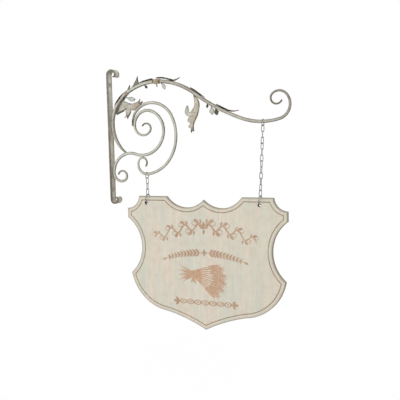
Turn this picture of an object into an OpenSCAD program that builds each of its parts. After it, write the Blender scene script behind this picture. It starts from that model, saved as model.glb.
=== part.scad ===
// Wall-hung shop sign: a scrolled and leafed iron bracket that carries a shaped board on two chains.
// X points away from the wall, Y across the board's thickness and Z up. The origin is midway between
// the two wall screw holes, on the back of the wall bar. Bracket and board lie in the plane Y = 0.

/* [Wall bar] */
// Distance between the two screw holes
hole_spacing = 250; // [230:5:270]
// Diameter of each screw hole
screw_hole_d = 5.5; // [4:0.5:7]
// Width of the flat bar
bar_w = 20; // [16:1:26]
// Thickness of the flat bar
bar_t = 4; // [3:0.5:6]
// Bar beyond each screw hole, to the far side of its curl
bar_end = 36; // [32:1:44]
// Radius of the curl at the top
top_curl_r = 11; // [9:0.5:13]
// Radius of the curl at the bottom
low_curl_r = 9; // [8:0.5:12]
// Radius of the roll that ends each curl
curl_roll_r = 4.5; // [3.5:0.5:5]

/* [Arm] */
// Height above the origin at which the arm is welded to the wall bar
arm_weld_z = 30; // [24:1:36]
// Thickness of the arm at the wall
arm_d = 9.2; // [8:0.2:11]
// Thickness of the arm where the chain hangs
arm_hang_d = 7.6; // [6.4:0.2:9]
// Thickness of the arm at the tip of its scroll
arm_tip_d = 3.8; // [3:0.2:5]
// Radius of the arm's foot, which runs down into the ring
foot_r = 84; // [78:1:90]
// Radius of the arm's rise from the wall
rise_r = 86; // [80:1:92]
// Radius of the arm's shoulder
shoulder_r = 150; // [140:1:160]
// Radius of the arm's crest
crest_r = 170; // [160:1:180]
// Radius of the arm's long fall
fall_r = 458; // [440:2:476]
// Radius of the dip that the chain hangs from
dip_r = 146; // [136:1:156]
// Radius of the turn that opens the end scroll
end_turn_r = 32; // [28:1:36]
// Radius of the end scroll
end_scroll_r = 22; // [19:1:24]
// Radius of the end scroll's eye
end_eye_r = 13; // [11:0.5:15]

/* [Inner scroll] */
// Height of the point at which the inner scroll is welded to the wall bar
scroll_weld_z = -86; // [-92:1:-80]
// Thickness of the inner scroll
scroll_d = 7.2; // [6:0.2:8.4]
// Thickness at the tips of both bracket scrolls
scroll_tip_d = 3.8; // [3:0.2:5]
// Radius of the small curl at the scroll's toe
toe_r = 20; // [17:1:22]
// Radius of the toe's eye
toe_eye_r = 12; // [10:0.5:13]
// Radius of the rise from the wall
hook_r = 47; // [44:1:50]
// Radius of the ring's underside
ring_low_r = 59; // [56:1:62]
// Radius of the ring's far side
ring_side_r = 48; // [45:1:51]
// Radius of the ring's top
ring_top_r = 34; // [32:1:36]
// Radius of the spiral inside the ring
spiral_r = 23; // [21:1:25]
// Radius of the spiral's eye
spiral_eye_r = 12; // [10:0.5:14]

/* [Outer scroll] */
// Thickness of the outer scroll
outer_d = 7.2; // [6:0.2:8.4]
// Radius of the outer scroll's rise from the ring
outer_rise_r = 47; // [44:1:50]
// Radius of the outer scroll's crown
outer_crown_r = 59; // [56:1:62]
// Radius of the outer scroll's flank
outer_flank_r = 98; // [94:1:102]
// Radius of the outer scroll's haunch
outer_haunch_r = 86; // [82:1:90]
// Radius of the small curl that the chain hangs from
heel_r = 23; // [21:0.5:25]
// Radius of the small curl's eye
heel_eye_r = 11.5; // [10:0.5:13]

/* [Leaves] */
// Thickness of the leaf metal
leaf_t = 1.4; // [1:0.1:2]
// Thickness of the twigs on top of the arm
twig_d = 2.8; // [2:0.1:3.6]
// Distance along the arm from its weld to the middle of the bud
bud_s = 174; // [170:1:178]
// Length of the bud on the arm
bud_l = 20; // [16:1:24]
// Thickness of the bud
bud_d = 12.5; // [11:0.5:15]
// Distance along the arm from its weld to the middle of the collar
collar_s = 88; // [86:0.5:89]
// Width of the collar where the spear leaves spring
collar_l = 6; // [4:0.5:9]
// Height of the collar's metal above the arm
collar_rise = 1.6; // [1:0.1:2.4]
// Distance along the arm at which the hanging leaf springs from its underside
hanging_s = 274; // [268:1:280]
// Width of the hanging leaf's root
hanging_root = 12; // [10:0.5:14]
// Length of the hanging leaf along its middle
hanging_l = 64.5; // [58:0.5:72]

/* [Chains] */
// Thickness of the chain wire
link_wire = 1.8; // [1.4:0.1:2]
// Width of a link over its wires
link_w = 7.6; // [7:0.2:9]
// Radius to the middle of the wire of the rings round the bars
bar_ring_r = 7.5; // [7:0.25:9]
// Thickness of the wire of the rings round the bars
bar_ring_wire = 2; // [1.6:0.1:2.4]
// Radius to the middle of the wire of the rings through the board
board_ring_r = 10; // [9.6:0.2:12]
// Thickness of the wire of the rings through the board
board_ring_wire = 2.2; // [1.8:0.1:2.4]
// Saw cut where each ring closes
ring_cut = 0.5; // [0.3:0.1:0.8]

/* [Board] */
// Width of the board over its ears
board_w = 400; // [390:2:420]
// Height of the board
board_h = 310; // [300:2:330]
// Thickness of the board
board_t = 9; // [8:0.5:10]
// Height of the board's top edge, measured from the origin
board_top = -141; // [-150:1:-132]
// Drop from the top edge to the middle of each hole
hole_drop = 16; // [15:0.5:17]
// Diameter of the holes for the rings
board_hole_d = 8; // [7.6:0.2:10]
// Middle of the board to the hole beside the wall
near_hole = 148; // [140:1:152]
// Middle of the board to the hole at the end of the arm
far_hole = 136; // [128:1:144]
// Radius of the two scallops in the top edge
scallop_r = 62; // [60:0.5:64]
// Middle of the board to the middle of each scallop
scallop_x = 44; // [42:0.5:46]
// Height of each scallop's middle above the top edge
scallop_up = 36.5; // [35:0.5:38]
// Radius of the notch in each top corner
notch_r = 32; // [28:1:36]
// Radius of the waist in each side
waist_r = 84; // [80:1:88]
// Depth of each waist, from the ears
waist_depth = 36; // [32:1:40]
// Drop from the top edge to the narrowest place of the waist
waist_drop = 121; // [117:1:125]
// Radius of the board's belly
belly_r = 108; // [104:1:112]
// Middle of the board to the middle of each belly curve
belly_x = 88; // [84:1:92]
// Drop from the top edge to the middle of each belly curve
belly_drop = 166; // [162:1:170]
// Radius of the two hollow curves that run down to the point
ogee_r = 400; // [360:10:440]
// Distance of the groove from the board's edge
groove_inset = 8.5; // [6:0.5:12]
// Width of the groove
groove_w = 2; // [1.2:0.2:3]
// Depth of the groove
groove_depth = 1; // [0.6:0.1:2]

/* [Hidden] */
// Links in the short chain beside the wall, and in the long chain at the end of the arm
near_links = 3;
far_links = 12;

IRON = [0.66, 0.65, 0.58];
LEAF = [0.60, 0.60, 0.52];
WORN = [0.56, 0.47, 0.38];
STEEL = [0.78, 0.78, 0.80];
PAINTED_WOOD = [0.84, 0.82, 0.75];

// Largest distance between a bend and the straight steps that draw it
chord = 0.12;
// Corners of a bar's section, and of a twig's
bar_sides = 12;
twig_sides = 8;
// Play left between pieces that hang on each other
seat = 0.3;
// Play left between a leaf and what it is welded to
weld = 0.1;
eps = 0.01;

// Bends. A route is a list of stations [x, z, heading, distance], where a heading of 0 points away from
// the wall and 90 points up. A bend is [radius, turn], and a positive turn is anticlockwise.

function between(a, b, part) = a + (b - a) * part;

function steps_of(r, turn) = max(2, ceil(abs(turn) * PI / 180 * r / sqrt(8 * r * chord)));

function after(from, r, turn) =
    let (side = sign(turn), h = from[2], h2 = from[2] + turn)
    [from[0] + side * r * (sin(h2) - sin(h)), from[1] - side * r * (cos(h2) - cos(h)), h2,
     from[3] + abs(turn) * PI / 180 * r];

function walk(from, bends, i = 0) =
    i == len(bends) ? [] :
    let (r = bends[i][0], turn = bends[i][1], n = steps_of(r, turn))
    concat([for (k = [1 : n]) after(from, r, turn * k / n)],
           walk(after(from, r, turn), bends, i + 1));

function route(from, bends) = concat([from], walk(from, bends));

// The same stations met from the other end, without the first one
function turned_back(stations) =
    [for (i = [len(stations) - 1 : -1 : 1]) [stations[i][0], stations[i][1], stations[i][2] + 180, -stations[i][3]]];

// Station at a distance along a route
function at(stations, distance) =
    let (i = max([for (k = [0 : len(stations) - 2]) if (stations[k][3] <= distance) k]),
         a = stations[i], b = stations[i + 1])
    between(a, b, (distance - a[3]) / (b[3] - a[3]));

// Last station at which a route's heading passes a value
function where_heading(stations, h) =
    let (hits = [for (k = [0 : len(stations) - 2])
            if ((stations[k][2] - h) * (stations[k + 1][2] - h) <= 0 && stations[k][2] != h) k],
         i = hits[len(hits) - 1], a = stations[i], b = stations[i + 1])
    between(a, b, (h - a[2]) / (b[2] - a[2]));

// Point at an offset from a station, positive to the left of its heading
function beside(station, offset) =
    [station[0] - offset * sin(station[2]), station[1] + offset * cos(station[2])];

// Stations with the headings that their own points give
function headed(points) =
    let (last = len(points) - 1)
    [for (k = [0 : last]) let (a = points[max(k - 1, 0)], b = points[min(k + 1, last)])
        [points[k][0], points[k][1], atan2(b[1] - a[1], b[0] - a[0])]];

// Routes of the three welded bars

scroll_x = bar_t + scroll_d / 2;
arm_x = bar_t + arm_d / 2;

arm_rise = route([arm_x, arm_weld_z, 90, 0],
    [[rise_r, -57], [shoulder_r, -37], [crest_r, -32], [fall_r, 16], [dip_r, 35],
     [end_turn_r, 117], [end_scroll_r, 87], [end_eye_r, 202]]);
arm_l = arm_rise[len(arm_rise) - 1][3];
arm_hang = where_heading(arm_rise, 0);

inner_rise = route([scroll_x, scroll_weld_z, 90, 0],
    [[hook_r, -108], [ring_low_r, 102], [ring_side_r, 75], [ring_top_r, 115], [spiral_r, 133],
     [spiral_eye_r, 187]]);
inner_toe = route([scroll_x, scroll_weld_z, 270, 0], [[toe_r, 115], [toe_eye_r, 225]]);
inner_l = inner_rise[len(inner_rise) - 1][3];
toe_l = inner_toe[len(inner_toe) - 1][3];

// The arm's foot ends where its curve meets the inner scroll's middle line
foot_middle = [arm_x + foot_r, arm_weld_z];
hook_middle = [scroll_x + hook_r, scroll_weld_z];
foot_to_hook = hook_middle - foot_middle;
foot_turn = 180 + atan2(foot_to_hook.y, foot_to_hook.x)
    - acos((pow(foot_r, 2) + pow(norm(foot_to_hook), 2) - pow(hook_r, 2)) / (2 * foot_r * norm(foot_to_hook)));
arm_foot = route([arm_x, arm_weld_z, 270, 0], [[foot_r, foot_turn]]);
foot_end = arm_foot[len(arm_foot) - 1];
foot_l = foot_end[3];
// Distance along the inner scroll at which the foot meets it, and the stretch of scroll cut from the foot
foot_meets = hook_r * (180 - atan2(foot_end[1] - hook_middle.y, foot_end[0] - hook_middle.x)) * PI / 180;
foot_cut = 45;

// The outer scroll leaves the ring where the ring's spiral runs straight down
ring_left = where_heading(inner_rise, 270);
outer_start = [ring_left[0] - (scroll_d + scroll_tip_d) / 2 - weld, ring_left[1], 94, 0];
outer_rise = route(outer_start,
    [[outer_rise_r, -71], [outer_crown_r, -87], [outer_flank_r, -53], [outer_haunch_r, -56],
     [heel_r, -119], [heel_eye_r, -201]]);
outer_l = outer_rise[len(outer_rise) - 1][3];
outer_hang = where_heading(outer_rise, -180);
// Length over which the outer scroll's thin start grows to full thickness
outer_grow = 40;

function arm_half(s) = lookup(s, [[-foot_l, scroll_d / 3], [-foot_l / 3, arm_d / 2], [0, arm_d / 2],
    [arm_hang[3], arm_hang_d / 2], [arm_l, arm_tip_d / 2]]);
function inner_half(s) = lookup(s, [[-toe_l, scroll_tip_d / 2], [-toe_l / 2, scroll_d * 0.44], [0, scroll_d / 2],
    [inner_l * 0.7, scroll_d / 2], [inner_l, scroll_tip_d / 2]]);
function outer_half(s) = lookup(s, [[0, scroll_tip_d / 2], [outer_grow, outer_d / 2],
    [outer_hang[3], outer_d * 0.46], [outer_l, scroll_tip_d / 2]]);

// Dome that rounds a bar's end, as rings [x, z, heading, radius] that step outward
function dome(station, r, way) =
    [for (lean = [30, 60]) [station[0] + way * r * sin(lean) * cos(station[2]),
                            station[1] + way * r * sin(lean) * sin(station[2]), station[2], r * cos(lean)]];

// A bar bent along a route, with a round section and rounded ends
module bent_bar(stations, halves, sides) {
    last = len(stations) - 1;
    first_dome = dome(stations[0], halves[0], -1);
    rings = concat([first_dome[1], first_dome[0]],
        [for (i = [0 : last]) [stations[i][0], stations[i][1], stations[i][2], halves[i]]],
        dome(stations[last], halves[last], 1));
    points = [for (q = rings) for (k = [0 : sides - 1])
        let (a = k * 360 / sides, p = beside(q, q[3] * cos(a)))
        [p[0], q[3] * sin(a), p[1]]];
    skin = [for (i = [0 : len(rings) - 2]) for (k = [0 : sides - 1])
        let (a = i * sides + k, b = i * sides + (k + 1) % sides)
        each [[a, b, a + sides], [b, b + sides, a + sides]]];
    first_end = [for (k = [sides - 1 : -1 : 0]) k];
    last_end = [for (k = [0 : sides - 1]) (len(rings) - 1) * sides + k];
    polyhedron(points, concat([first_end], skin, [last_end]));
}

// Leaves of bent sheet. A row is [points, y_middle, y_edge]: columns of [x, z] points from the leaf's left
// edge to its right edge, the Y of its midrib and the Y of its edges. Rows run from the root to the tip.

columns = 4;

module sheet_leaf(rows) {
    last = len(rows) - 1;
    count = (last + 1) * (columns + 1);
    points = [for (side = [-1, 1]) for (row = rows) for (j = [0 : columns])
        [row[0][j][0], between(row[1], row[2], pow(2 * j / columns - 1, 2)) + side * leaf_t / 2, row[0][j][1]]];
    grid = [for (i = [0 : last - 1]) for (j = [0 : columns - 1])
        let (a = i * (columns + 1) + j, b = a + columns + 1)
        each [[a, b, b + 1], [a, b + 1, a + 1],
              [count + a, count + b + 1, count + b], [count + a, count + a + 1, count + b + 1]]];
    edges = [for (i = [0 : last - 1])
        let (a = i * (columns + 1), b = a + columns + 1, c = a + columns, d = b + columns)
        each [[a, count + a, count + b], [a, count + b, b],
              [c, count + d, count + c], [c, d, count + d]]];
    ends = [for (j = [0 : columns - 1])
        let (a = j, b = last * (columns + 1) + j)
        each [[a, a + 1, count + a + 1], [a, count + a + 1, count + a],
              [b + 1, b, count + b], [b + 1, count + b, count + b + 1]]];
    polyhedron(points, concat(grid, edges, ends));
}

// Row across a station, with its middle pulled back by a fork
function row_across(q, left, right, fork) =
    [for (j = [0 : columns])
        let (p = beside(q, between(left, -right, j / columns)), back = fork * (1 - abs(2 * j / columns - 1)))
        [p[0] - back * cos(q[2]), p[1] - back * sin(q[2])]];

// Rows along a midrib. left, right, middle and edge are lookup lists from 0 at the root to 1 at the tip
function rib_rows(rib, first, n, left, right, middle, edge, fork = 0) =
    let (length = rib[len(rib) - 1][3])
    [for (i = [first : n]) let (t = i / n)
        [row_across(at(rib, length * t), lookup(t, left), lookup(t, right), fork * pow(t, 4)),
         lookup(t, middle), lookup(t, edge)]];

// Row that lies on the arm from one distance to another, above it (side 1) or below it (side -1)
function row_on_arm(s1, s2, side, r_extra = 0) =
    [for (j = [0 : columns])
        let (s = side > 0 ? between(s1, s2, j / columns) : between(s2, s1, j / columns))
        beside(at(arm_rise, s), side * (arm_half(s) + weld + r_extra))];

// Point given as a distance along the arm and an offset from it
function by_arm(way) = beside(at(arm_rise, way[0]), way[1]);

// Rows of a leaf that stands on the arm along its whole root and sweeps to its tip
function swept_rows(s1, s2, side, bend_a, bend_b, tip_a, tip_b, lean_y, n) =
    let (foot = row_on_arm(s1, s2, side))
    [for (i = [0 : n]) let (t = i / n)
        [[for (j = [0 : columns])
            let (bend = between(bend_a, bend_b, j / columns), tip = between(tip_a, tip_b, j / columns))
            pow(1 - t, 2) * foot[j] + 2 * t * (1 - t) * bend + t * t * tip],
         lean_y * t * t, lean_y * t * t]];

// A leaf on a stalk from the arm: its root lies on the arm and its midrib leans away by an angle
module sprung_leaf(s, side, lean, bends, root, half, lift, cup, n = 7, r_extra = 0) {
    from = at(arm_rise, s);
    foot = beside(from, side * (arm_half(s) + weld + r_extra));
    rib = route([foot[0], foot[1], from[2] + side * lean, 0], bends);
    widths = [[0, root], [0.25, half * 0.8], [0.5, half], [0.75, half * 0.72], [1, 0.5]];
    sheet_leaf(concat([[row_on_arm(s - root, s + root, side, r_extra), 0, 0]],
        rib_rows(rib, 1, n, widths, widths, [[0, 0], [1, lift]], [[0, 0], [0.4, cup], [1, lift + cup]])));
}

// A leaf that lies on another leaf's face and runs out past its edge
module laid_leaf(from, heading, bends, widths, side, lift, fork, n = 7) {
    lie = side * (leaf_t + weld);
    rib = route([from[0], from[1], heading, 0], bends);
    flat = [[0, lie], [0.45, lie], [1, lie + side * lift]];
    sheet_leaf(rib_rows(rib, 0, n, widths, widths, flat, flat, fork));
}

// A ring that bulges round the arm, thin at both ends
module bead(s, length, r_out, drop) {
    q = at(arm_rise, s);
    middle = beside(q, -drop);
    bore = arm_half(s) + weld + drop;
    rise = r_out - bore;
    bulge = (length * length / 4 + rise * rise) / (2 * rise);
    translate([middle[0], 0, middle[1]]) rotate([0, 90 - q[2], 0]) rotate_extrude($fn = 48)
        intersection() {
            translate([r_out - bulge, 0]) circle(r = bulge, $fn = 360);
            translate([bore, -length]) square([rise, 2 * length]);
        }
}

// A thin rod beside the arm, through waypoints [distance along the arm, offset]
module twig(way, d, n = 11) {
    first = way[0][0];
    last = way[len(way) - 1][0];
    stations = headed([for (k = [0 : n]) let (s = between(first, last, k / n)) by_arm([s, lookup(s, way)])]);
    bent_bar(stations, [for (k = [0 : n]) d / 2 * lookup(k / n, [[0, 0.6], [0.2, 1], [0.7, 1], [1, 0.45]])],
        twig_sides);
}

// Bracket

function strip(stations, t) = concat([for (q = stations) beside(q, t / 2)],
    [for (i = [len(stations) - 1 : -1 : 0]) beside(stations[i], -t / 2)]);

module wall_bar() {
    top_start = hole_spacing / 2 + bar_end - top_curl_r - bar_t / 2;
    low_start = -hole_spacing / 2 - bar_end + low_curl_r + bar_t / 2;
    top_curl = route([bar_t / 2, top_start, 90, 0], [[top_curl_r, -180], [curl_roll_r, -110]]);
    low_curl = route([bar_t / 2, low_start, 270, 0], [[low_curl_r, 180], [curl_roll_r, 110]]);
    color(IRON) difference() {
        rotate([90, 0, 0]) linear_extrude(bar_w, center = true)
            polygon(strip(concat(turned_back(low_curl), [low_curl[0] + [0, 0, 180, 0]], top_curl), bar_t));
        for (z = [-hole_spacing / 2, hole_spacing / 2])
            translate([-eps, 0, z]) rotate([0, 90, 0])
                cylinder(d = screw_hole_d, h = bar_t + 2 * eps, $fn = 48);
    }
}

module inner_stretch(stations) {
    bent_bar(stations, [for (q = stations) inner_half(q[3])], bar_sides);
}

module inner_scroll() {
    color(IRON) inner_stretch(concat(turned_back(inner_toe), inner_rise));
}

module arm() {
    stations = concat(turned_back(arm_foot), arm_rise);
    color(IRON) difference() {
        bent_bar(stations, [for (q = stations) arm_half(q[3])], bar_sides);
        inner_stretch([for (q = inner_rise) if (abs(q[3] - foot_meets) < foot_cut) q]);
    }
}

module outer_scroll() {
    color(IRON) bent_bar(outer_rise, [for (q = outer_rise) outer_half(q[3])], bar_sides);
}

// Arm's dressing, from the wall outward. Distances are measured along the arm from its weld

corner = at(arm_rise, 60);

function from_corner(dx, dz) = [corner[0] + dx, corner[1] + dz];

module arm_sheath() {
    rows = 9;
    stations = [for (i = [0 : rows]) at(arm_rise, between(38, collar_s - collar_l / 2 - 1, i / rows))];
    widths = [[0, 1.5], [0.22, 5.4], [0.55, 7.4], [0.85, 6.2], [1, 5.2]];
    color(LEAF) sheet_leaf([for (i = [0 : rows])
        let (w = lookup(i / rows, widths), behind = arm_half(stations[i][3]) + 0.5 + leaf_t / 2)
        [row_across(stations[i], w, w, 0), behind, behind - w * 0.42]]);
}

module collar() {
    color(WORN) bead(collar_s, collar_l, arm_half(collar_s) + collar_rise, 0.05);
}

module spear_leaf_small() {
    tip = by_arm([106, 12.3]);
    color(LEAF) sheet_leaf(swept_rows(92.5, 101, 1, by_arm([98, 9]), by_arm([103, 7]),
        tip - [0.4, 0], tip + [0.4, 0], -1.5, 6));
}

module spear_leaf_large() {
    tip = by_arm([130, 21.6]);
    color(LEAF) sheet_leaf(swept_rows(107, 128, 1, by_arm([117, 10]), by_arm([126.5, 10]),
        tip - [0.4, 0], tip + [0.4, 0], -2, 8));
}

module corner_leaf_base() {
    color(LEAF) sheet_leaf(swept_rows(26, 70, -1, from_corner(20, -5), from_corner(12, -22),
        from_corner(35, -7), from_corner(31, -18), 0, 8));
}

module corner_leaf_oval() {
    color(LEAF) sprung_leaf(79, -1, 52, [[70, 22]], 1.8, 5.6, -3.5, 1.2);
}

module corner_leaf_forked() {
    color(WORN) laid_leaf(from_corner(16, -14), -3, [[200, 5], [34, 50]],
        [[0, 2], [0.3, 4.6], [0.7, 4.2], [1, 6]], -1, 3.5, 6);
}

module corner_leaf_low() {
    color(LEAF) laid_leaf(from_corner(19.5, -19.2), 262, [[80, 15]],
        [[0, 2], [0.3, 3.6], [0.6, 3.4], [1, 5]], -1, 2, 5);
}

module corner_leaf_back() {
    color(WORN) laid_leaf(from_corner(17, -19.5), 200, [[80, 18]],
        [[0, 2], [0.3, 3], [0.7, 2.4], [1, 0.6]], 1, 0, 0);
}

module arm_leaflet_back() {
    color(WORN) sprung_leaf(141, -1, 62, [[30, 18]], 1.6, 2.6, -1, 0.5, 5);
}

// Drop of the bud's straight axis below the crest, so that it passes evenly round the bent arm
bud_drop = bud_l * bud_l / 16 / crest_r;

module bud() {
    color(WORN) bead(bud_s, bud_l, bud_d / 2, bud_drop);
}

module bud_leaf_small() {
    color(LEAF) sprung_leaf(bud_s - 1, -1, 72, [[30, 12]], 1.2, 1.8, -0.8, 0.3, 5,
        bud_d / 2 - arm_half(bud_s) + bud_drop);
}

module bud_leaf_large() {
    color(LEAF) sprung_leaf(bud_s + bud_l / 2 + 3, -1, 54, [[40, -18]], 1.8, 4, -2, 1);
}

function on_arm(s, d) = [s, arm_half(s) + d / 2 + weld];

module twig_back() {
    end = bud_s - bud_l / 2 - 2;
    color(WORN) twig([on_arm(131, twig_d), on_arm(end, twig_d)], twig_d);
}

module twig_front() {
    over_bud = bud_d / 2 + twig_d / 2 + 2 * weld;
    past_bud = bud_s + bud_l / 2;
    color(WORN) twig([[bud_s - 1, over_bud], [past_bud + 1, over_bud + 0.4], [past_bud + 12, 7.8],
        on_arm(past_bud + 24, twig_d + 0.6), on_arm(past_bud + 31, twig_d), [past_bud + 37, 7.8],
        [past_bud + 45, 15]], twig_d, 16);
}

module twig_low() {
    color(WORN) twig([on_arm(262, twig_d), on_arm(304, twig_d)], twig_d);
}

leaf_foot = row_on_arm(hanging_s, hanging_s + hanging_root, -1);

module hanging_leaf() {
    middle = leaf_foot[columns / 2];
    rib = route([middle[0] + 0.5, middle[1] - 8, 279, 0],
        [[0.698 * hanging_l, -31], [3.1 * hanging_l, 5], [0.403 * hanging_l, 50]]);
    length = rib[len(rib) - 1][3];
    rows = 22;
    lobes_from = 0.5;
    lobes = 3;
    outer = [[0, 5.5], [0.1, 8], [0.2, 9.4], [0.35, 8.6], [0.5, 8], [0.7, 6.5], [0.85, 5], [0.93, 4], [1, 4.4]];
    inner = [[0, 4.6], [0.2, 4.6], [0.36, 6], [0.5, 10], [0.62, 8.5], [0.8, 5.4], [1, 3.6]];
    color(LEAF) sheet_leaf(concat([[leaf_foot, 0, 0]], [for (i = [0 : rows])
        let (t = i / rows, u = max(0, (t - lobes_from) / (1 - lobes_from)), lobe = 2.4 * abs(sin(180 * lobes * u)))
        [row_across(at(rib, length * t), lookup(t, outer), lookup(t, inner) + lobe, 3 * pow(t, 12)), 0, 0]]));
}

module hanging_leaf_lobe() {
    color(LEAF) laid_leaf(leaf_foot[columns / 2] + [-6, -34], 195, [[120, -3], [6.5, -108], [60, -12]],
        [[0, 2], [0.25, 4], [0.55, 4.4], [0.85, 3.2], [1, 1.6]], -1, 3, 0, 10);
}

module arm_leaflet_dark() {
    color(WORN) sprung_leaf(318, -1, 72, [[30, 14]], 1.6, 2.2, -0.8, 0.4, 5);
}

module arm_leaflet_oval() {
    color(LEAF) sprung_leaf(329, -1, 62, [[50, 14]], 1.8, 4, -1.5, 0.9);
}

module arm_leaflet_front() {
    color(WORN) sprung_leaf(341, -1, 60, [[27, 24]], 1.8, 3.8, -1.5, 0.9);
}

module tendril() {
    color(WORN) twig([on_arm(337, twig_d), on_arm(370, twig_d), [378, 6.9], [386, 10], [394, 14]], twig_d, 14);
}

// Chains. Each hangs on the line from the middle of its bar down to the top of its board ring, and
// distances along it are measured downward from the bar

near_bar_half = outer_half(outer_hang[3]);
far_bar_half = arm_half(arm_hang[3]);
// Board ring beside its hole's middle: the near ring hangs straight, the far one lets the board shift
near_ring_off = 1.8;
far_ring_off = 1;
// Drop of the hole's edge below the ring's inside, where the round ring meets the flat faces
hole_rest = 1.35;

near_hole_x = outer_hang[0] - near_ring_off;
board_x = near_hole_x + near_hole;
far_hole_x = board_x + far_hole;
hole_z = board_top - hole_drop;
ring_sag = board_ring_r - sqrt(pow(board_ring_r, 2) - pow(board_t / 2, 2));
board_ring_z = hole_z + board_hole_d / 2 - board_ring_wire / 2 - ring_sag - hole_rest + board_ring_r;

near_top = [outer_hang[0], outer_hang[1]];
far_top = [arm_hang[0], arm_hang[1]];
near_low = [outer_hang[0], board_ring_z + board_ring_r];
far_low = [far_hole_x + far_ring_off, board_ring_z + board_ring_r];

link_r = (link_w - link_wire) / 2;
link_gap = link_wire + seat;

function ring_top(bar_half) = bar_half + bar_ring_wire / 2 + seat;
function first_wire(bar_half) = 2 * bar_ring_r - ring_top(bar_half) - (bar_ring_wire + link_wire) / 2 - seat;
function last_wire(top, low) = norm(low - top) + (board_ring_wire + link_wire) / 2 + seat;
function pitch(top, low, bar_half, n) = (last_wire(top, low) - first_wire(bar_half) - link_gap) / n;

module on_line(top, low, down) {
    translate([top[0], 0, top[1]]) rotate([0, atan2(top[0] - low[0], top[1] - low[1]), 0])
        translate([0, 0, -down]) children();
}

// A ring across the bar, closed at its back by a saw cut
module ring(r, wire) {
    cut = 2 * asin(ring_cut / 2 / r);
    rotate([0, 90, 0]) rotate([0, 0, 90 + cut / 2])
        rotate_extrude(angle = 360 - cut, $fn = 64) translate([r, 0]) circle(d = wire, $fn = 24);
}

module bar_ring(top, low, bar_half) {
    color(STEEL) on_line(top, low, bar_ring_r - ring_top(bar_half)) ring(bar_ring_r, bar_ring_wire);
}

// A link that hangs from the origin's wire downward, in the plane Y = 0 before it is turned
module link(length) {
    for (end = [0, 1])
        translate([0, 0, end == 0 ? -link_r : link_r - length]) rotate([90, end * 180, 0])
            rotate_extrude(angle = 180, $fn = 48) translate([link_r, 0]) circle(d = link_wire, $fn = 24);
    for (x = [-link_r, link_r])
        translate([x, 0, link_r - length - eps])
            cylinder(d = link_wire, h = length - 2 * link_r + 2 * eps, $fn = 24);
}

module chain_link(top, low, bar_half, n, i, turn) {
    step = pitch(top, low, bar_half, n);
    color(STEEL) on_line(top, low, first_wire(bar_half) + (i - 1) * step)
        rotate([0, 0, (i - 1) * turn]) link(round(100 * (step + link_gap)) / 100);
}

near_turn = 180 / (near_links - 1);
// The long chain hangs with three quarters of a turn of twist in it
far_turn = 90 + 270 / (far_links - 1);

module board_ring(x) {
    color(STEEL) translate([x, 0, board_ring_z]) ring(board_ring_r, board_ring_wire);
}

// Board

// Corner where a waist runs into the belly, for a profile set in from the edge
waist_x = board_w / 2 - waist_depth + waist_r;
function shoulder_z(inset) =
    let (middle = [belly_x, -belly_drop], far = [waist_x, -waist_drop] - middle, d = norm(far),
         rb = belly_r - inset, rw = waist_r + inset, a = (rb * rb - rw * rw + d * d) / (2 * d),
         h = sqrt(rb * rb - a * a))
    (middle + far / d * a + [far.y, -far.x] / d * h).y;

// Distance past the belly's middle at which the hollow curve to the point takes over
ogee_from = 12;
ogee_high = [belly_x + ogee_from, -belly_drop - sqrt(pow(belly_r, 2) - pow(ogee_from, 2))];
ogee_chord = ogee_high - [0, -board_h];
ogee_middle = [0, -board_h] + ogee_chord / 2
    + [ogee_chord.y, -ogee_chord.x] / norm(ogee_chord) * sqrt(pow(ogee_r, 2) - pow(norm(ogee_chord) / 2, 2));
// Middle of each corner notch above the top edge
notch_up = 2.5;

module board_profile(inset) {
    bump = shoulder_z(inset);
    difference() {
        translate([inset - board_w / 2, bump]) square([board_w - 2 * inset, -bump - inset]);
        for (side = [-1, 1]) {
            translate([side * scallop_x, scallop_up]) circle(r = scallop_r + inset, $fn = 180);
            translate([side * board_w / 2, notch_up]) circle(r = notch_r + inset, $fn = 120);
            translate([side * waist_x, -waist_drop]) circle(r = waist_r + inset, $fn = 180);
        }
    }
    intersection() {
        for (side = [-1, 1])
            translate([side * belly_x, -belly_drop]) circle(r = belly_r - inset, $fn = 240);
        translate([-board_w / 2, -board_h]) square([board_w, bump + board_h]);
    }
    difference() {
        translate([-ogee_high.x, -board_h]) square([2 * ogee_high.x, bump + board_h]);
        for (side = [-1, 1])
            translate([side * ogee_middle.x, ogee_middle.y]) circle(r = ogee_r + inset, $fn = 720);
    }
}

module board() {
    color(PAINTED_WOOD) translate([board_x, 0, board_top]) rotate([90, 0, 0]) difference() {
        linear_extrude(board_t, center = true) board_profile(0);
        for (side = [-1, 1])
            translate([0, 0, side * (board_t / 2 - groove_depth / 2 + eps / 2)])
                linear_extrude(groove_depth + eps, center = true) difference() {
                    board_profile(groove_inset);
                    board_profile(groove_inset + groove_w);
                }
        for (x = [-near_hole, far_hole])
            translate([x, -hole_drop, -board_t])
                cylinder(d = board_hole_d, h = 2 * board_t, $fn = 48);
    }
}

wall_bar();
arm();
inner_scroll();
outer_scroll();
collar();
bud();
arm_sheath();
spear_leaf_small();
spear_leaf_large();
corner_leaf_base();
corner_leaf_oval();
corner_leaf_forked();
corner_leaf_low();
corner_leaf_back();
arm_leaflet_back();
bud_leaf_small();
bud_leaf_large();
twig_back();
twig_front();
twig_low();
hanging_leaf();
hanging_leaf_lobe();
arm_leaflet_dark();
arm_leaflet_oval();
arm_leaflet_front();
tendril();
bar_ring(near_top, near_low, near_bar_half);  // bar_ring_near
bar_ring(far_top, far_low, far_bar_half);  // bar_ring_far
for (i = [1 : near_links])
    chain_link(near_top, near_low, near_bar_half, near_links, i, near_turn);
for (i = [1 : far_links])
    chain_link(far_top, far_low, far_bar_half, far_links, i, far_turn);
board_ring(near_low[0]);  // board_ring_near
board_ring(far_low[0]);  // board_ring_far
board();
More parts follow.
